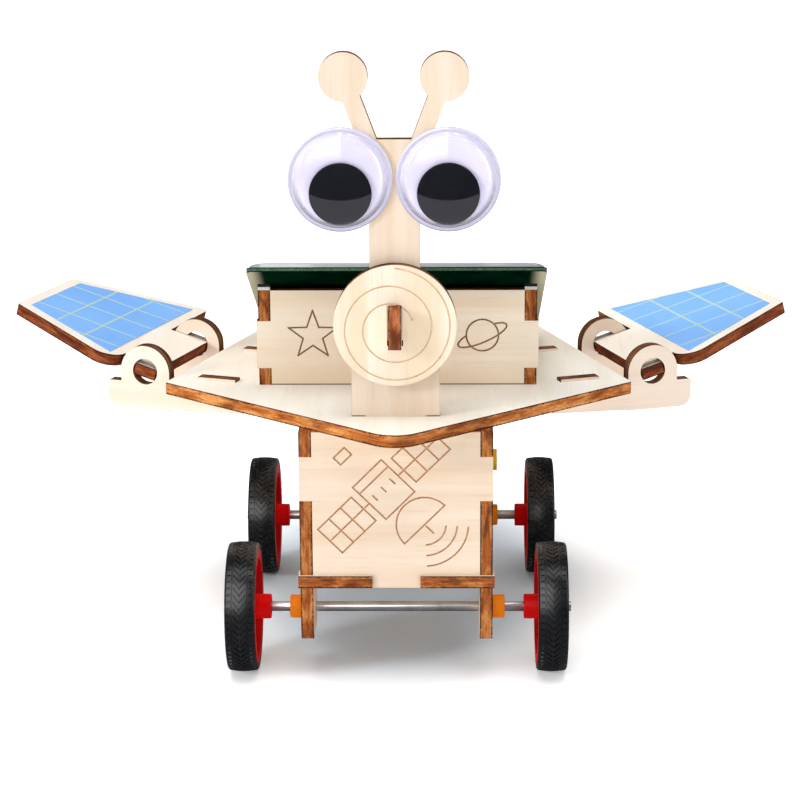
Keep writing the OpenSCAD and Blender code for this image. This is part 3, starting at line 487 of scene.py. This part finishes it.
def eye_shell(name, centre, clear_r, rim_r):
    """Clear moulded dome: see-through in front, lavender round its wall and flange, with painted
    shade where the wall and flange face down, and a painted reflection of the studio on its
    outside.
    """
    s = Shader(name)
    cloud = s.noise(s.position, 500.0, 2.0)
    across, _, up = s.split(s.position)
    off_x = s.math("SUBTRACT", across, centre.x)
    off_z = s.math("SUBTRACT", up, centre.z)
    squares = s.math("ADD", s.math("POWER", off_x, 2.0), s.math("POWER", off_z, 2.0))
    from_axis = s.math("SQRT", squares)
    path = s.tree.nodes.new("ShaderNodeLightPath")
    seen = s.math("MAXIMUM", path.outputs["Is Camera Ray"], path.outputs["Is Glossy Ray"])
    milky = s.math("MULTIPLY", s.smooth(from_axis, clear_r, rim_r, 0.0, 0.85), seen)
    clear = s.tree.nodes.new("ShaderNodeBsdfTransparent")
    clear.inputs[0].default_value = (1, 0.995, 1, 1)
    lavender = s.mix(cloud, srgb(226, 222, 243), srgb(216, 212, 236))
    # Painted shade: the wall and flange are drawn dark grey-lavender where they face down
    painted_shade_below = s.smooth(s.split(s.normal)[2], 0.4, -0.7)
    lavender = s.mix(s.math("MULTIPLY", painted_shade_below, 0.95), lavender, srgb(70, 68, 78))
    tint = s.principled(Base_Color=lavender, Roughness=0.3, Specular_IOR_Level=0.2)
    body = s.tree.nodes.new("ShaderNodeMixShader")
    s.feed(body.inputs[0], milky)
    s.feed(body.inputs[1], clear.outputs[0])
    s.feed(body.inputs[2], tint)
    # Painted reflection: an emission on the dome's outside, for camera rays only, drawn from what
    # the dome would mirror of the studio
    fresnel = s.tree.nodes.new("ShaderNodeFresnel")
    fresnel.inputs["IOR"].default_value = 1.49
    inside = s.tree.nodes.new("ShaderNodeNewGeometry").outputs["Backfacing"]
    outside = s.math("SUBTRACT", 1.0, inside)
    share = s.math("MULTIPLY", s.math("MULTIPLY", fresnel.outputs[0], outside),
                   path.outputs["Is Camera Ray"])
    gloss = s.tree.nodes.new("ShaderNodeEmission")
    gloss.inputs["Color"].default_value = (0.97, 0.94, 1, 1)
    s.feed(gloss.inputs["Strength"],
           s.math("MULTIPLY", s.math("MINIMUM", share, MOST_GLOSS), painted_studio_reflection(s)))
    shell = s.tree.nodes.new("ShaderNodeAddShader")
    s.feed(shell.inputs[0], body.outputs[0])
    s.feed(shell.inputs[1], gloss.outputs[0])
    return s.finish(shell.outputs[0])


def foam():
    """White foam tape, with painted shade on its half next to the panel."""
    s = Shader("white_foam")
    tape = nodes["panel_tape"].data
    thick = thickness_axis(nodes["panel_board"].data)
    low, high = extent(tape, thick)
    share = s.math("DIVIDE", s.math("SUBTRACT", s.dot(s.position, thick), low), high - low)
    cells = s.noise(s.position, 2600.0, 3.0, 0.7)
    white = s.mix(s.smooth(cells, 0.3, 0.7), srgb(214, 214, 208), srgb(244, 244, 240))
    # Painted shade: the half of the tape next to the panel is drawn near black, where the tape lies
    # in the panel's shadow
    return s.finish(s.principled(
        Base_Color=s.mix(s.smooth(share, 0.46, 0.54), white, srgb(24, 26, 24)),
        Roughness=0.9, Normal=s.bump(cells, 0.12 * MM, 0.9)))


def paint_node(name, material):
    mesh = nodes[name].data
    mesh.materials.clear()
    mesh.materials.append(material)


# ---- Mesh helpers -----------------------------------------------------------------------------

def make_piece(name, vertices, faces, material, body, sharp_angle=SHARP_ANGLE):
    """A named mesh piece that rides on a body. Vertices are in metres in the row frame."""
    mesh = bpy.data.meshes.new(name)
    mesh.from_pydata([tuple(v) for v in vertices], [], faces)
    mesh.validate()
    cleaner = bmesh.new()
    cleaner.from_mesh(mesh)
    bmesh.ops.recalc_face_normals(cleaner, faces=cleaner.faces)
    cleaner.to_mesh(mesh)
    cleaner.free()
    mesh.polygons.foreach_set("use_smooth", [True] * len(mesh.polygons))
    mesh.set_sharp_from_angle(angle=math.radians(sharp_angle))
    mesh.materials.append(material)
    piece = bpy.data.objects.new(name, mesh)
    bpy.context.scene.collection.objects.link(piece)
    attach(piece, body)
    return piece


def lathe(profile, steps):
    """Vertices and faces of a closed profile of (radius, height) turned about the local Z axis."""
    vertices, faces, rings = [], [], []
    for radius, height in profile:
        if radius < 1e-9:
            rings.append([len(vertices)] * steps)
            vertices.append(Vector((0, 0, height)))
            continue
        rings.append(list(range(len(vertices), len(vertices) + steps)))
        for i in range(steps):
            a = 2 * math.pi * i / steps
            vertices.append(Vector((radius * math.cos(a), radius * math.sin(a), height)))
    count = len(rings)
    for r in range(count):
        here, there = rings[r], rings[(r + 1) % count]
        for i in range(steps):
            k = (i + 1) % steps
            corners = []
            for index in (here[i], here[k], there[k], there[i]):
                if index not in corners:
                    corners.append(index)
            if len(corners) > 2:
                faces.append(corners)
    return vertices, faces


def placed(vertices, origin, axis, up=Z):
    """Local vertices moved so that local Z lies along axis and local Y near up."""
    side = up.cross(axis).normalized()
    turn = Matrix((side, axis.cross(side), axis)).transposed()
    return [origin + turn @ v for v in vertices]


def tube(points, radius, steps=14):
    """Vertices and faces of a round wire along points."""
    vertices, faces = [], []
    normal = None
    for i, point in enumerate(points):
        ahead = (points[min(i + 1, len(points) - 1)] - points[max(i - 1, 0)]).normalized()
        if normal is None:
            normal = ahead.orthogonal().normalized()
        normal = (normal - ahead * normal.dot(ahead)).normalized()
        across = ahead.cross(normal)
        for k in range(steps):
            a = 2 * math.pi * k / steps
            vertices.append(point + radius * (math.cos(a) * normal + math.sin(a) * across))
    for i in range(len(points) - 1):
        for k in range(steps):
            a, b = i * steps + k, i * steps + (k + 1) % steps
            faces.append([a, b, b + steps, a + steps])
    faces.append(list(range(steps))[::-1])
    faces.append(list(range((len(points) - 1) * steps, len(points) * steps)))
    return vertices, faces


def spline(points, per_span=8):
    """Catmull-Rom curve through points."""
    padded = [2 * points[0] - points[1], *points, 2 * points[-1] - points[-2]]
    result = []
    for i in range(1, len(padded) - 2):
        p0, p1, p2, p3 = padded[i - 1:i + 3]
        for k in range(per_span):
            t = k / per_span
            result.append(0.5 * (2 * p1 + (p2 - p0) * t + (2 * p0 - 5 * p1 + 4 * p2 - p3) * t * t
                                 + (3 * p1 - p0 - 3 * p2 + p3) * t ** 3))
    result.append(points[-1])
    return result


def slab(corners, low, high):
    """Vertices and faces of a flat block: corners in (u, v), between two heights."""
    count = len(corners)
    vertices = [Vector((u, v, h)) for h in (low, high) for u, v in corners]
    faces = [list(range(count))[::-1], list(range(count, 2 * count))]
    for i in range(count):
        k = (i + 1) % count
        faces.append([i, k, k + count, i + count])
    return vertices, faces


def rectangle(low_u, high_u, low_v, high_v):
    """Corners of an upright rectangle."""
    return [(low_u, low_v), (high_u, low_v), (high_u, high_v), (low_u, high_v)]


def joined(parts):
    """Several (vertices, faces) meshes as one."""
    vertices, faces = [], []
    for part_vertices, part_faces in parts:
        start = len(vertices)
        vertices.extend(part_vertices)
        faces.extend([[start + i for i in face] for face in part_faces])
    return vertices, faces


def soften(name, width):
    """Rounds the edges of a CAD node by modifiers only."""
    node = nodes[name]
    weld = node.modifiers.new("join_faces", "WELD")
    weld.merge_threshold = 0.002 * MM
    bevel = node.modifiers.new("soft_edges", "BEVEL")
    bevel.width = width
    bevel.segments = 2
    bevel.limit_method = "ANGLE"
    bevel.angle_limit = math.radians(SHARP_ANGLE)


# ---- Plywood plates ---------------------------------------------------------------------------

PLATES = ("deck_plate", "chassis_front_plate", "chassis_rear_plate", "chassis_left_side",
          "chassis_right_side", "chassis_bottom_plate", "motor_bulkhead", "box_front_plate",
          "box_left_side", "box_right_side", "neck_plate", "nose_disc", "nose_peg",
          "left_front_arm", "left_rear_arm", "right_front_arm", "right_rear_arm",
          "left_wing_plate", "right_wing_plate")
GRAIN = {"nose_disc": Z, "nose_peg": Y}


def edge_tone(name):
    if "wing" in name:
        return "russet"
    if "arm" in name or name in ("neck_plate", "nose_disc"):
        return "umber"
    return {"deck_plate": "golden", "nose_peg": "sienna"}.get(name, "amber")


def paint_plates():
    for i, name in enumerate(PLATES):
        face_tone = next((group for group in FACE_TONES if group in name), "plate")
        material = plywood("plywood_" + name, nodes[name].data, 3.7 * i, edge_tone(name), face_tone,
                           ENGRAVED.get(name), GRAIN.get(name))
        paint_node(name, material)


# ---- Wings ------------------------------------------------------------------------------------

def wing_lines(side_name):
    """Printed grid: five lines outwards and two across, as thin strips on the blue film."""
    film = nodes[side_name + "_wing_film"].data
    up = thickness_axis(film)
    if up.z < 0:
        up = -up
    hinge = joints[side_name + "_wing_hinge"]
    along = Vector(hinge["axis"]).normalized()
    if along.y < 0:
        along = -along
    origin = Vector(hinge["pos_m"])
    out = up.cross(along)
    if out.x * (1 if side_name == "right" else -1) < 0:
        out = -out
    top = extent(film, up)[1] - origin.dot(up)
    corners = {(round((v.co - origin).dot(out), 7), round((v.co - origin).dot(along), 7))
               for v in film.vertices}
    near, far = min(c[0] for c in corners), max(c[0] for c in corners)
    at_edge = 0.5 * MM
    near_edge = [c[1] for c in corners if c[0] < near + at_edge]
    far_edge = [c[1] for c in corners if c[0] > far - at_edge]
    middle = (min(near_edge) + max(near_edge)) / 2
    near_half = (max(near_edge) - min(near_edge)) / 2
    far_half = (max(far_edge) - min(far_edge)) / 2

    half_line = 0.21 * MM
    spacing = 8.4 * MM
    # The lines across lie on top of the lines outwards
    rise, rise_across = 0.02 * MM, 0.026 * MM
    parts = []
    for k in range(-2, 3):
        at = k * spacing
        reach = far
        if abs(at) > far_half - half_line:
            reach = near + (far - near) * (near_half - abs(at) - half_line) / (near_half - far_half)
        line = rectangle(near, reach, middle + at - half_line, middle + at + half_line)
        parts.append(slab(line, top, top + rise))
    for share in (1 / 3, 2 / 3):
        at = near + (far - near) * share
        half = near_half + (far_half - near_half) * share
        line = rectangle(at - half_line, at + half_line, middle - half, middle + half)
        parts.append(slab(line, top, top + rise_across))
    vertices, faces = joined(parts)
    vertices = [origin + out * v.x + along * v.y + up * v.z for v in vertices]
    return make_piece(side_name + "_wing_lines", vertices, faces, MATERIAL["print_lines"],
                      side_name + "_wing")


# ---- Wheels -----------------------------------------------------------------------------------

def tyre(name, body):
    """Tyre with a chevron tread, side slots and ribs. The pattern follows its own grid lines."""
    low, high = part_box(name)
    middle = (low + high) / 2
    side = 1 if middle.x > 0 else -1
    crown_r = (high.z - low.z) / 2
    half = (high.x - low.x) / 2
    pitches = 60
    # Places across one pitch, and how deep the cut is there
    columns = ((0.0, 0), (0.28, 0), (0.56, 0), (0.64, 1), (0.82, 1), (0.9, 0))
    cut = 0.2 * MM
    skew = 1.5 * MM / crown_r
    # Across the tread, from the middle out: place in mm, cut by the slots, cut all round
    half_rows = [(0.04, 0, 0), (0.12, 1, 0), (0.6, 1, 0), (1.16, 1, 0), (1.24, 0, 0),
                 (1.42, 0, 0), (1.48, 0, 0.5), (1.58, 0, 0.5), (1.64, 0, 0),
                 (1.82, 0, 0), (1.9, 1, 0), (2.42, 1, 0), (2.5, 0, 0)]
    rows = [(-p * MM, s, r) for p, s, r in reversed(half_rows)]
    rows += [(p * MM, s, r) for p, s, r in half_rows]

    chevron_half = 1.24 * MM
    shoulder = 0.55 * MM
    seat_r = crown_r - 1.4 * MM
    bead_r = crown_r - 2.4 * MM
    crown_drop = 0.22 * MM
    straight = half - shoulder

    def crown(place):
        return crown_r - crown_drop * (place / straight) ** 2

    def shoulder_arc(sign):
        arc = []
        for i in range(1, 7):
            a = math.radians(90 - 15 * i)
            arc.append((crown(straight) - shoulder + shoulder * math.sin(a),
                        sign * (straight + shoulder * math.cos(a)), 0, 0))
        return arc

    # Side wall with one fine groove, then the seat and the bead inside the tyre
    groove = 0.1 * MM
    wall = [(crown_r - 1.0 * MM, half, 0, 0), (crown_r - 1.05 * MM, half - groove, 0, 0),
            (crown_r - 1.2 * MM, half - groove, 0, 0), (crown_r - 1.25 * MM, half, 0, 0),
            (seat_r, half, 0, 0), (seat_r, half - 0.6 * MM, 0, 0), (bead_r, half - 1.1 * MM, 0, 0)]
    profile = [(crown(p), p, s, r) for p, s, r in rows]
    profile += shoulder_arc(1) + wall
    profile += [(r, -p, s, c) for r, p, s, c in reversed(wall)]
    profile += list(reversed(shoulder_arc(-1)))

    vertices, faces = [], []
    count = pitches * len(columns)
    for radius, place, slots, ring in profile:
        lean = skew * min(abs(place) / chevron_half, 1.0)
        for i in range(count):
            offset, deep = columns[i % len(columns)]
            a = 2 * math.pi * (i // len(columns) + offset) / pitches + lean
            r = radius - cut * max(slots * deep, ring)
            vertices.append(middle + Vector((side * place, r * math.sin(a), r * math.cos(a))))
    for j in range(len(profile)):
        for i in range(count):
            a, b = j * count + i, j * count + (i + 1) % count
            jump = ((j + 1) % len(profile) - j) * count
            faces.append([a, b, b + jump, a + jump])
    piece = make_piece(name.replace("tyre", "treaded_tyre"), vertices, faces, MATERIAL["tyre"],
                       body, 28)
    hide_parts(name)
    return piece


# ---- Eyes -------------------------------------------------------------------------------------

def half_round(outer_r, r):
    """Profile points round the rim of a disc that is 2r thick, from low face to high face."""
    turns = [math.radians(a) for a in range(-90, 91, 15)]
    return [(outer_r - r + r * math.cos(a), r + r * math.sin(a)) for a in turns]


def eye_dome(side_name):
    """Clear dome with a rounded flange, turned from a smooth profile."""
    low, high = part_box(side_name + "_eye_dome")
    middle = (low + high) / 2
    flange_r = (high.x - low.x) / 2
    rise = high.y - low.y
    base_r = flange_r - 0.95 * MM
    wall = 0.4 * MM
    flange_t = 0.6 * MM
    wall_h = 1.5 * MM
    steps = 20

    def curve(radius, top):
        quarter = [math.pi / 2 * i / steps for i in range(steps + 1)]
        return [(radius * math.cos(a), wall_h + (top - wall_h) * math.sin(a)) for a in quarter]

    flange = half_round(flange_r, flange_t / 2)
    profile = [(base_r - wall, 0)] + flange
    profile += [(base_r + 0.12 * MM, flange_t), (base_r, flange_t + 0.2 * MM)]
    profile += curve(base_r, rise) + list(reversed(curve(base_r - wall, rise - wall)))
    vertices, faces = lathe(profile, 128)
    origin = Vector((middle.x, high.y, middle.z))
    plastic = eye_shell(side_name + "_clear_eye_plastic", middle, base_r - 1.3 * MM, base_r)
    piece = make_piece(side_name + "_eye_lens", placed(vertices, origin, -Y), faces, plastic,
                       "robot_frame", 50)
    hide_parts(side_name + "_eye_dome")


def pupil(side_name):
    """Loose black disc with a rounded rim."""
    low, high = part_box(side_name + "_pupil")
    middle = (low + high) / 2
    radius = (high.x - low.x) / 2
    thick = high.y - low.y
    vertices, faces = lathe([(0, 0)] + half_round(radius, thick / 2) + [(0, thick)], 96)
    origin = Vector((middle.x, high.y, middle.z))
    piece = make_piece(side_name + "_pupil_disc", placed(vertices, origin, -Y), faces,
                       MATERIAL["pupil"], side_name + "_pupil", 50)
    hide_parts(side_name + "_pupil")


# ---- Solar panel ------------------------------------------------------------------------------

def panel_frame():
    """Origin at the cell layer's middle on the board, with across, down-slope and up directions."""
    resin = nodes["panel_cells"].data
    up = thickness_axis(resin)
    if up.z < 0:
        up = -up
    down = X.cross(up)
    if down.y < 0:
        down = -down
    low_x, high_x = extent(resin, X)
    low_d, high_d = extent(resin, down)
    low_u, high_u = extent(resin, up)
    origin = X * (low_x + high_x) / 2 + down * (low_d + high_d) / 2 + up * low_u
    return origin, down, up, (high_x - low_x) / 2, (high_d - low_d) / 2, high_u - low_u


def rounded_rectangle(half_u, half_v, radius, steps=8):
    points = []
    for sign_u, sign_v, start in ((1, 1, 0), (-1, 1, 90), (-1, -1, 180), (1, -1, 270)):
        for i in range(steps + 1):
            a = math.radians(start + 90 * i / steps)
            points.append((sign_u * (half_u - radius) + radius * math.cos(a),
                           sign_v * (half_v - radius) + radius * math.sin(a)))
    return points


def solar_panel():
    origin, down, up, half_x, half_d, thick = panel_frame()

    def place(vertices):
        return [origin + X * v.x + down * v.y + up * v.z for v in vertices]

    # Resin slab with a rolled top edge
    corner = 3.6 * MM
    roll = 0.3 * MM
    outline = rounded_rectangle(half_x, half_d, corner)
    vertices, faces = [], []
    levels = [(0, 0), (0, thick - roll)]
    for a in (math.radians(30), math.radians(60), math.radians(90)):
        levels.append((roll * (1 - math.cos(a)), thick - roll + roll * math.sin(a)))
    count = len(outline)
    for inset, height in levels:
        for u, v in outline:
            vertices.append(Vector((u * (1 - inset / half_x), v * (1 - inset / half_d), height)))
    for j in range(len(levels) - 1):
        for i in range(count):
            k = (i + 1) % count
            faces.append([j * count + i, j * count + k, (j + 1) * count + k, (j + 1) * count + i])
    faces.append(list(range(count))[::-1])
    faces.append([(len(levels) - 1) * count + i for i in range(count)])
    resin = make_piece("panel_resin", place(vertices), faces, MATERIAL["resin"], "robot_frame",
                       60)
    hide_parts("panel_cells")

    # Cells: two columns of strips, each with a busbar, and a ribbon along both ends
    columns, strips = 2, 5
    margin, gap = 2.4 * MM, 0.7 * MM
    lift, cell_t = 0.02 * MM, 0.22 * MM
    bar_w, bar_t, bar_inset = 0.7 * MM, 0.05 * MM, 0.3 * MM
    ribbon_w, ribbon_t = 0.8 * MM, 0.1 * MM
    cell_w = (2 * (half_x - margin) - gap * (columns - 1)) / columns
    cell_l = (2 * (half_d - margin) - gap * (strips - 1)) / strips
    cells, bars = [], []
    for c in range(columns):
        for r in range(strips):
            u = -half_x + margin + c * (cell_w + gap)
            v = -half_d + margin + r * (cell_l + gap)
            cells.append(slab(rectangle(u, u + cell_w, v, v + cell_l), lift, cell_t))
            bar_v = v + cell_l / 2
            bar = rectangle(u + bar_inset, u + cell_w - bar_inset,
                            bar_v - bar_w / 2, bar_v + bar_w / 2)
            bars.append(slab(bar, cell_t, cell_t + bar_t))
    for edge in (-1, 1):
        v = edge * (half_d - margin / 2)
        ribbon = rectangle(-half_x + margin, half_x - margin, v - ribbon_w / 2, v + ribbon_w / 2)
        bars.append(slab(ribbon, lift, lift + ribbon_t))
    for name, parts, material in (("panel_silicon", cells, "silicon"),
                                  ("panel_busbars", bars, "tinned")):
        vertices, faces = joined(parts)
        make_piece(name, place(vertices), faces, MATERIAL[material], "robot_frame")


# ---- Motor wires ------------------------------------------------------------------------------

WIRE_R = 0.5 * MM
# Radius and height of a solder joint's profile, in mm
SOLDER_DROP = ((0, 0.55), (0.5, 0.45), (0.85, 0.15), (1.0, -0.25), (0.95, -0.5), (0, -0.5))


def motor_wires():
    """Smooth wires from the motor's terminals to solder joints under the panel."""
    from_panel = -thickness_axis(nodes["panel_board"].data)
    for name, slot in (("red_wire", "wire_red"), ("black_wire", "wire_black")):
        centre_line = wire_line(name)
        vertices, faces = tube(spline(centre_line, 10), WIRE_R)
        piece = make_piece(name + "_lead", vertices, faces, MATERIAL[slot], "robot_frame", 60)
        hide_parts(name)
        for tag, point, normal in (("_top_joint", centre_line[-1], from_panel),
                                   ("_motor_joint", centre_line[0], -Z)):
            vertices, faces = lathe([(r * MM, h * MM) for r, h in SOLDER_DROP], 24)
            make_piece(name + tag, placed(vertices, point, normal, X), faces, MATERIAL["tinned"],
                       "robot_frame", 60)


def wire_line(name):
    """Middle points of a CAD wire's round bends, from the motor to the panel."""
    centres = []
    mesh = nodes[name].data
    points = sorted((v.co.copy() for v in mesh.vertices), key=lambda p: p.z)
    low, high = points[0].z, points[-1].z
    steps, slice_half = 7, 1.2 * MM
    for i in range(steps + 1):
        level = low + (high - low) * i / steps
        near = [p for p in points if abs(p.z - level) < slice_half]
        if near:
            centres.append(sum(near, Vector()) / len(near))
    return centres


# ---- Build ------------------------------------------------------------------------------------

MATERIAL = {
    "tyre": tyre_rubber(),
    "print_lines": print_lines(),
    "pupil": pupil_plastic(),
    "eye_white": moulded_plastic("eye_white_plastic", srgb(224, 219, 239), srgb(217, 212, 235),
                                 0.5),
    "collar": moulded_plastic("orange_sleeve", srgb(255, 142, 26), srgb(255, 124, 10), 0.42, 0.06),
    "rim": moulded_plastic("red_wheel_plastic", srgb(224, 0, 4), srgb(202, 0, 2), 0.34, 0.05,
                           cast=srgb(96, 60, 60)),
    "gear": moulded_plastic("white_nylon", srgb(236, 236, 230), srgb(222, 222, 214), 0.42, 0.3,
                            0.1),
    "cap": moulded_plastic("yellow_end_cap", srgb(238, 196, 22), srgb(224, 176, 12), 0.36),
    "wire_red": moulded_plastic("red_wire_skin", srgb(196, 18, 18), srgb(172, 12, 12), 0.4),
    "wire_black": moulded_plastic("black_wire_skin", srgb(20, 20, 20), srgb(30, 30, 30), 0.4),
    "magnet": moulded_plastic("ferrite_magnet", srgb(54, 54, 56), srgb(42, 42, 44), 0.6),
    "axle": drawn_steel("axle_steel", (1, 0, 0), 208, 0.3),
    "can": drawn_steel("can_steel", (0, 1, 0), 196, 0.3),
    "tinned": tinned(),
    "foam": foam(),
    "wing_print": wing_print(),
    "board": circuit_board(),
}
MATERIAL["silicon"] = silicon(X)
MATERIAL["resin"] = clear_resin("cell_resin", (0.9, 0.93, 0.95, 1), srgb(176, 178, 178),
                                thickness_axis(nodes["panel_cells"].data))

paint_plates()
for side_name in SIDES:
    paint_node(side_name + "_wing_film", MATERIAL["wing_print"])
    paint_node(side_name + "_eye_back", MATERIAL["eye_white"])
    wing_lines(side_name)
    eye_dome(side_name)
    pupil(side_name)
for end in ("front", "rear"):
    paint_node(end + "_axle", MATERIAL["axle"])
    paint_node(end + "_collars", MATERIAL["collar"])
    soften(end + "_axle", 0.2 * MM)
    soften(end + "_collars", 0.2 * MM)
    for side_name in SIDES:
        paint_node(f"{end}_{side_name}_rim", MATERIAL["rim"])
        soften(f"{end}_{side_name}_rim", 0.15 * MM)
        tyre(f"{end}_{side_name}_tyre", end + "_wheelset")
for name, key in (("panel_board", "board"), ("panel_tape", "foam"), ("motor_can", "can"),
                  ("motor_magnets", "magnet"), ("motor_end_cap", "cap"),
                  ("motor_terminals", "tinned"), ("motor_rotor", "axle"), ("pinion", "gear"),
                  ("axle_gear", "gear")):
    paint_node(name, MATERIAL[key])
for name in ("motor_can", "motor_end_cap"):
    soften(name, 0.3 * MM)
solar_panel()
motor_wires()


# ---- Floor, light and camera ------------------------------------------------------------------

def floor():
    """White sheet: matt under the robot with a painted cool tint in the shade there, painted light
    glowing a little further out to lift the shadows, and dim in reflections.
    """
    size = 3.0
    mesh = bpy.data.meshes.new("floor")
    corners = [(-size, -size, 0), (size, -size, 0), (size, size, 0), (-size, size, 0)]
    mesh.from_pydata(corners, [], [(0, 1, 2, 3)])
    s = Shader("pale_floor")
    cloud = s.noise(s.position, 3.0, 2.0)
    across, back, _ = s.split(s.position)
    oval = s.vector(across, s.math("MULTIPLY", back, 0.6), 0.0)
    away = s.math("SQRT", s.dot(oval, oval))
    paper = s.mix(cloud, srgb(249, 249, 250), srgb(247, 247, 248))
    # Painted cool tint in the shade under the robot, offsetting the warm light bounced from the
    # wood
    paper = s.mix(s.smooth(away, 0.028, 0.045), srgb(230, 242, 254), paper)
    in_gloss = s.tree.nodes.new("ShaderNodeLightPath").outputs["Is Glossy Ray"]
    # Painted light: the floor glows from a little beyond the robot outwards, lifting the shadows
    # there, except in reflections
    painted_glow = s.math("MULTIPLY", s.smooth(away, 0.026, 0.056, 0.0, 0.42),
                  s.math("SUBTRACT", 1.0, in_gloss))
    mesh.materials.append(s.finish(s.principled(
        Base_Color=s.mix(in_gloss, paper, srgb(128, 128, 134)), Roughness=0.7,
        Specular_IOR_Level=0.1, Emission_Color=(1, 1, 1, 1), Emission_Strength=painted_glow)))
    obj = bpy.data.objects.new("floor", mesh)
    bpy.context.scene.collection.objects.link(obj)


def towards(azimuth, elevation):
    """Unit vector from the robot, with azimuth measured from its front towards +X."""
    a, e = math.radians(azimuth), math.radians(elevation)
    return Vector((math.sin(a) * math.cos(e), -math.cos(a) * math.cos(e), math.sin(e)))


HEAD = Z * 90 * MM
SUN_DISTANCE = 2.0
SOFTBOX_DISTANCE = 0.9
# Strength of the world for soft light, in reflections and to the camera
SOFT_SKY, MIRRORED_SKY, SEEN_SKY = 0.53, 0.1, 1.0


def lamp(kind, name, direction, distance, colour=(1, 1, 1)):
    """A lamp at a distance from the head, looking back at it."""
    data = bpy.data.lights.new(name, kind)
    data.color = colour
    obj = bpy.data.objects.new(name, data)
    obj.location = direction * distance + HEAD
    obj.rotation_euler = (-direction).to_track_quat("-Z", "Y").to_euler()
    bpy.context.scene.collection.objects.link(obj)
    return obj


def soft_suns():
    """Low key from the left and cool light from above, neither seen in reflections."""
    cool = (0.95, 0.98, 1)
    for name, direction, power, spread, colour in (("key", towards(-60, 20), 1.35, 14, (1, 1, 1)),
                                                   ("top", towards(-10, 80), 1.75, 50, cool)):
        sun = lamp("SUN", name, direction, SUN_DISTANCE, colour)
        sun.data.energy = power
        sun.data.angle = math.radians(spread)
        sun.visible_glossy = False


def softbox(name, azimuth, elevation, size, radiance):
    """A panel that is seen only in reflections."""
    panel = lamp("AREA", name, towards(azimuth, elevation), SOFTBOX_DISTANCE)
    panel.data.shape = "RECTANGLE"
    panel.data.size, panel.data.size_y = size
    panel.data.energy = radiance * math.pi * size[0] * size[1]
    panel.visible_diffuse = False
    panel.visible_transmission = False


def background(tree, strength, colour=(1, 1, 1, 1)):
    node = tree.nodes.new("ShaderNodeBackground")
    node.inputs["Color"].default_value = colour
    node.inputs["Strength"].default_value = strength
    return node.outputs[0]


def sky():
    """White to the camera, pale for soft light, and a dark room in reflections."""
    world = bpy.data.worlds.new("studio")
    world.use_nodes = True
    tree = world.node_tree
    tree.nodes.clear()
    output = tree.nodes.new("ShaderNodeOutputWorld")
    path = tree.nodes.new("ShaderNodeLightPath")
    in_gloss = tree.nodes.new("ShaderNodeMixShader")
    tree.links.new(path.outputs["Is Glossy Ray"], in_gloss.inputs[0])
    tree.links.new(background(tree, SOFT_SKY, (0.98, 0.99, 1, 1)), in_gloss.inputs[1])
    tree.links.new(background(tree, MIRRORED_SKY), in_gloss.inputs[2])
    seen = tree.nodes.new("ShaderNodeMixShader")
    tree.links.new(path.outputs["Is Camera Ray"], seen.inputs[0])
    tree.links.new(in_gloss.outputs[0], seen.inputs[1])
    tree.links.new(background(tree, SEEN_SKY), seen.inputs[2])
    tree.links.new(seen.outputs[0], output.inputs["Surface"])
    bpy.context.scene.world = world
    bpy.context.scene.view_settings.view_transform = "Standard"


def studio():
    sky()
    soft_suns()
    softbox("window", -24, 31, (0.8, 0.85), 4.0)
    softbox("strip", 66, 25, (0.1, 0.9), 9.0)
    softbox("overhead", 0, 78, (1.2, 0.3), 2.4)


def camera():
    """The camera that looks at the robot's face from a little above and a touch to its left."""
    place = Vector((8.66, -513.3, 177.84)) * MM
    pitch, yaw, roll = (math.radians(a) for a in (14.87, -0.99, 0.33))
    data = bpy.data.cameras.new("camera")
    data.sensor_width = 36
    data.lens = 108
    data.clip_start = 0.01
    obj = bpy.data.objects.new("camera", data)
    level = math.cos(pitch)
    ahead = Vector((math.sin(yaw) * level, math.cos(yaw) * level, -math.sin(pitch)))
    right = ahead.cross(Z).normalized()
    up = right.cross(ahead)
    turned_right = right * math.cos(roll) - up * math.sin(roll)
    turned_up = right * math.sin(roll) + up * math.cos(roll)
    turn = Matrix((turned_right, turned_up, -ahead)).transposed().to_4x4()
    obj.matrix_world = Matrix.Translation(place) @ turn
    bpy.context.scene.collection.objects.link(obj)
    bpy.context.scene.camera = obj


floor()
studio()
camera()
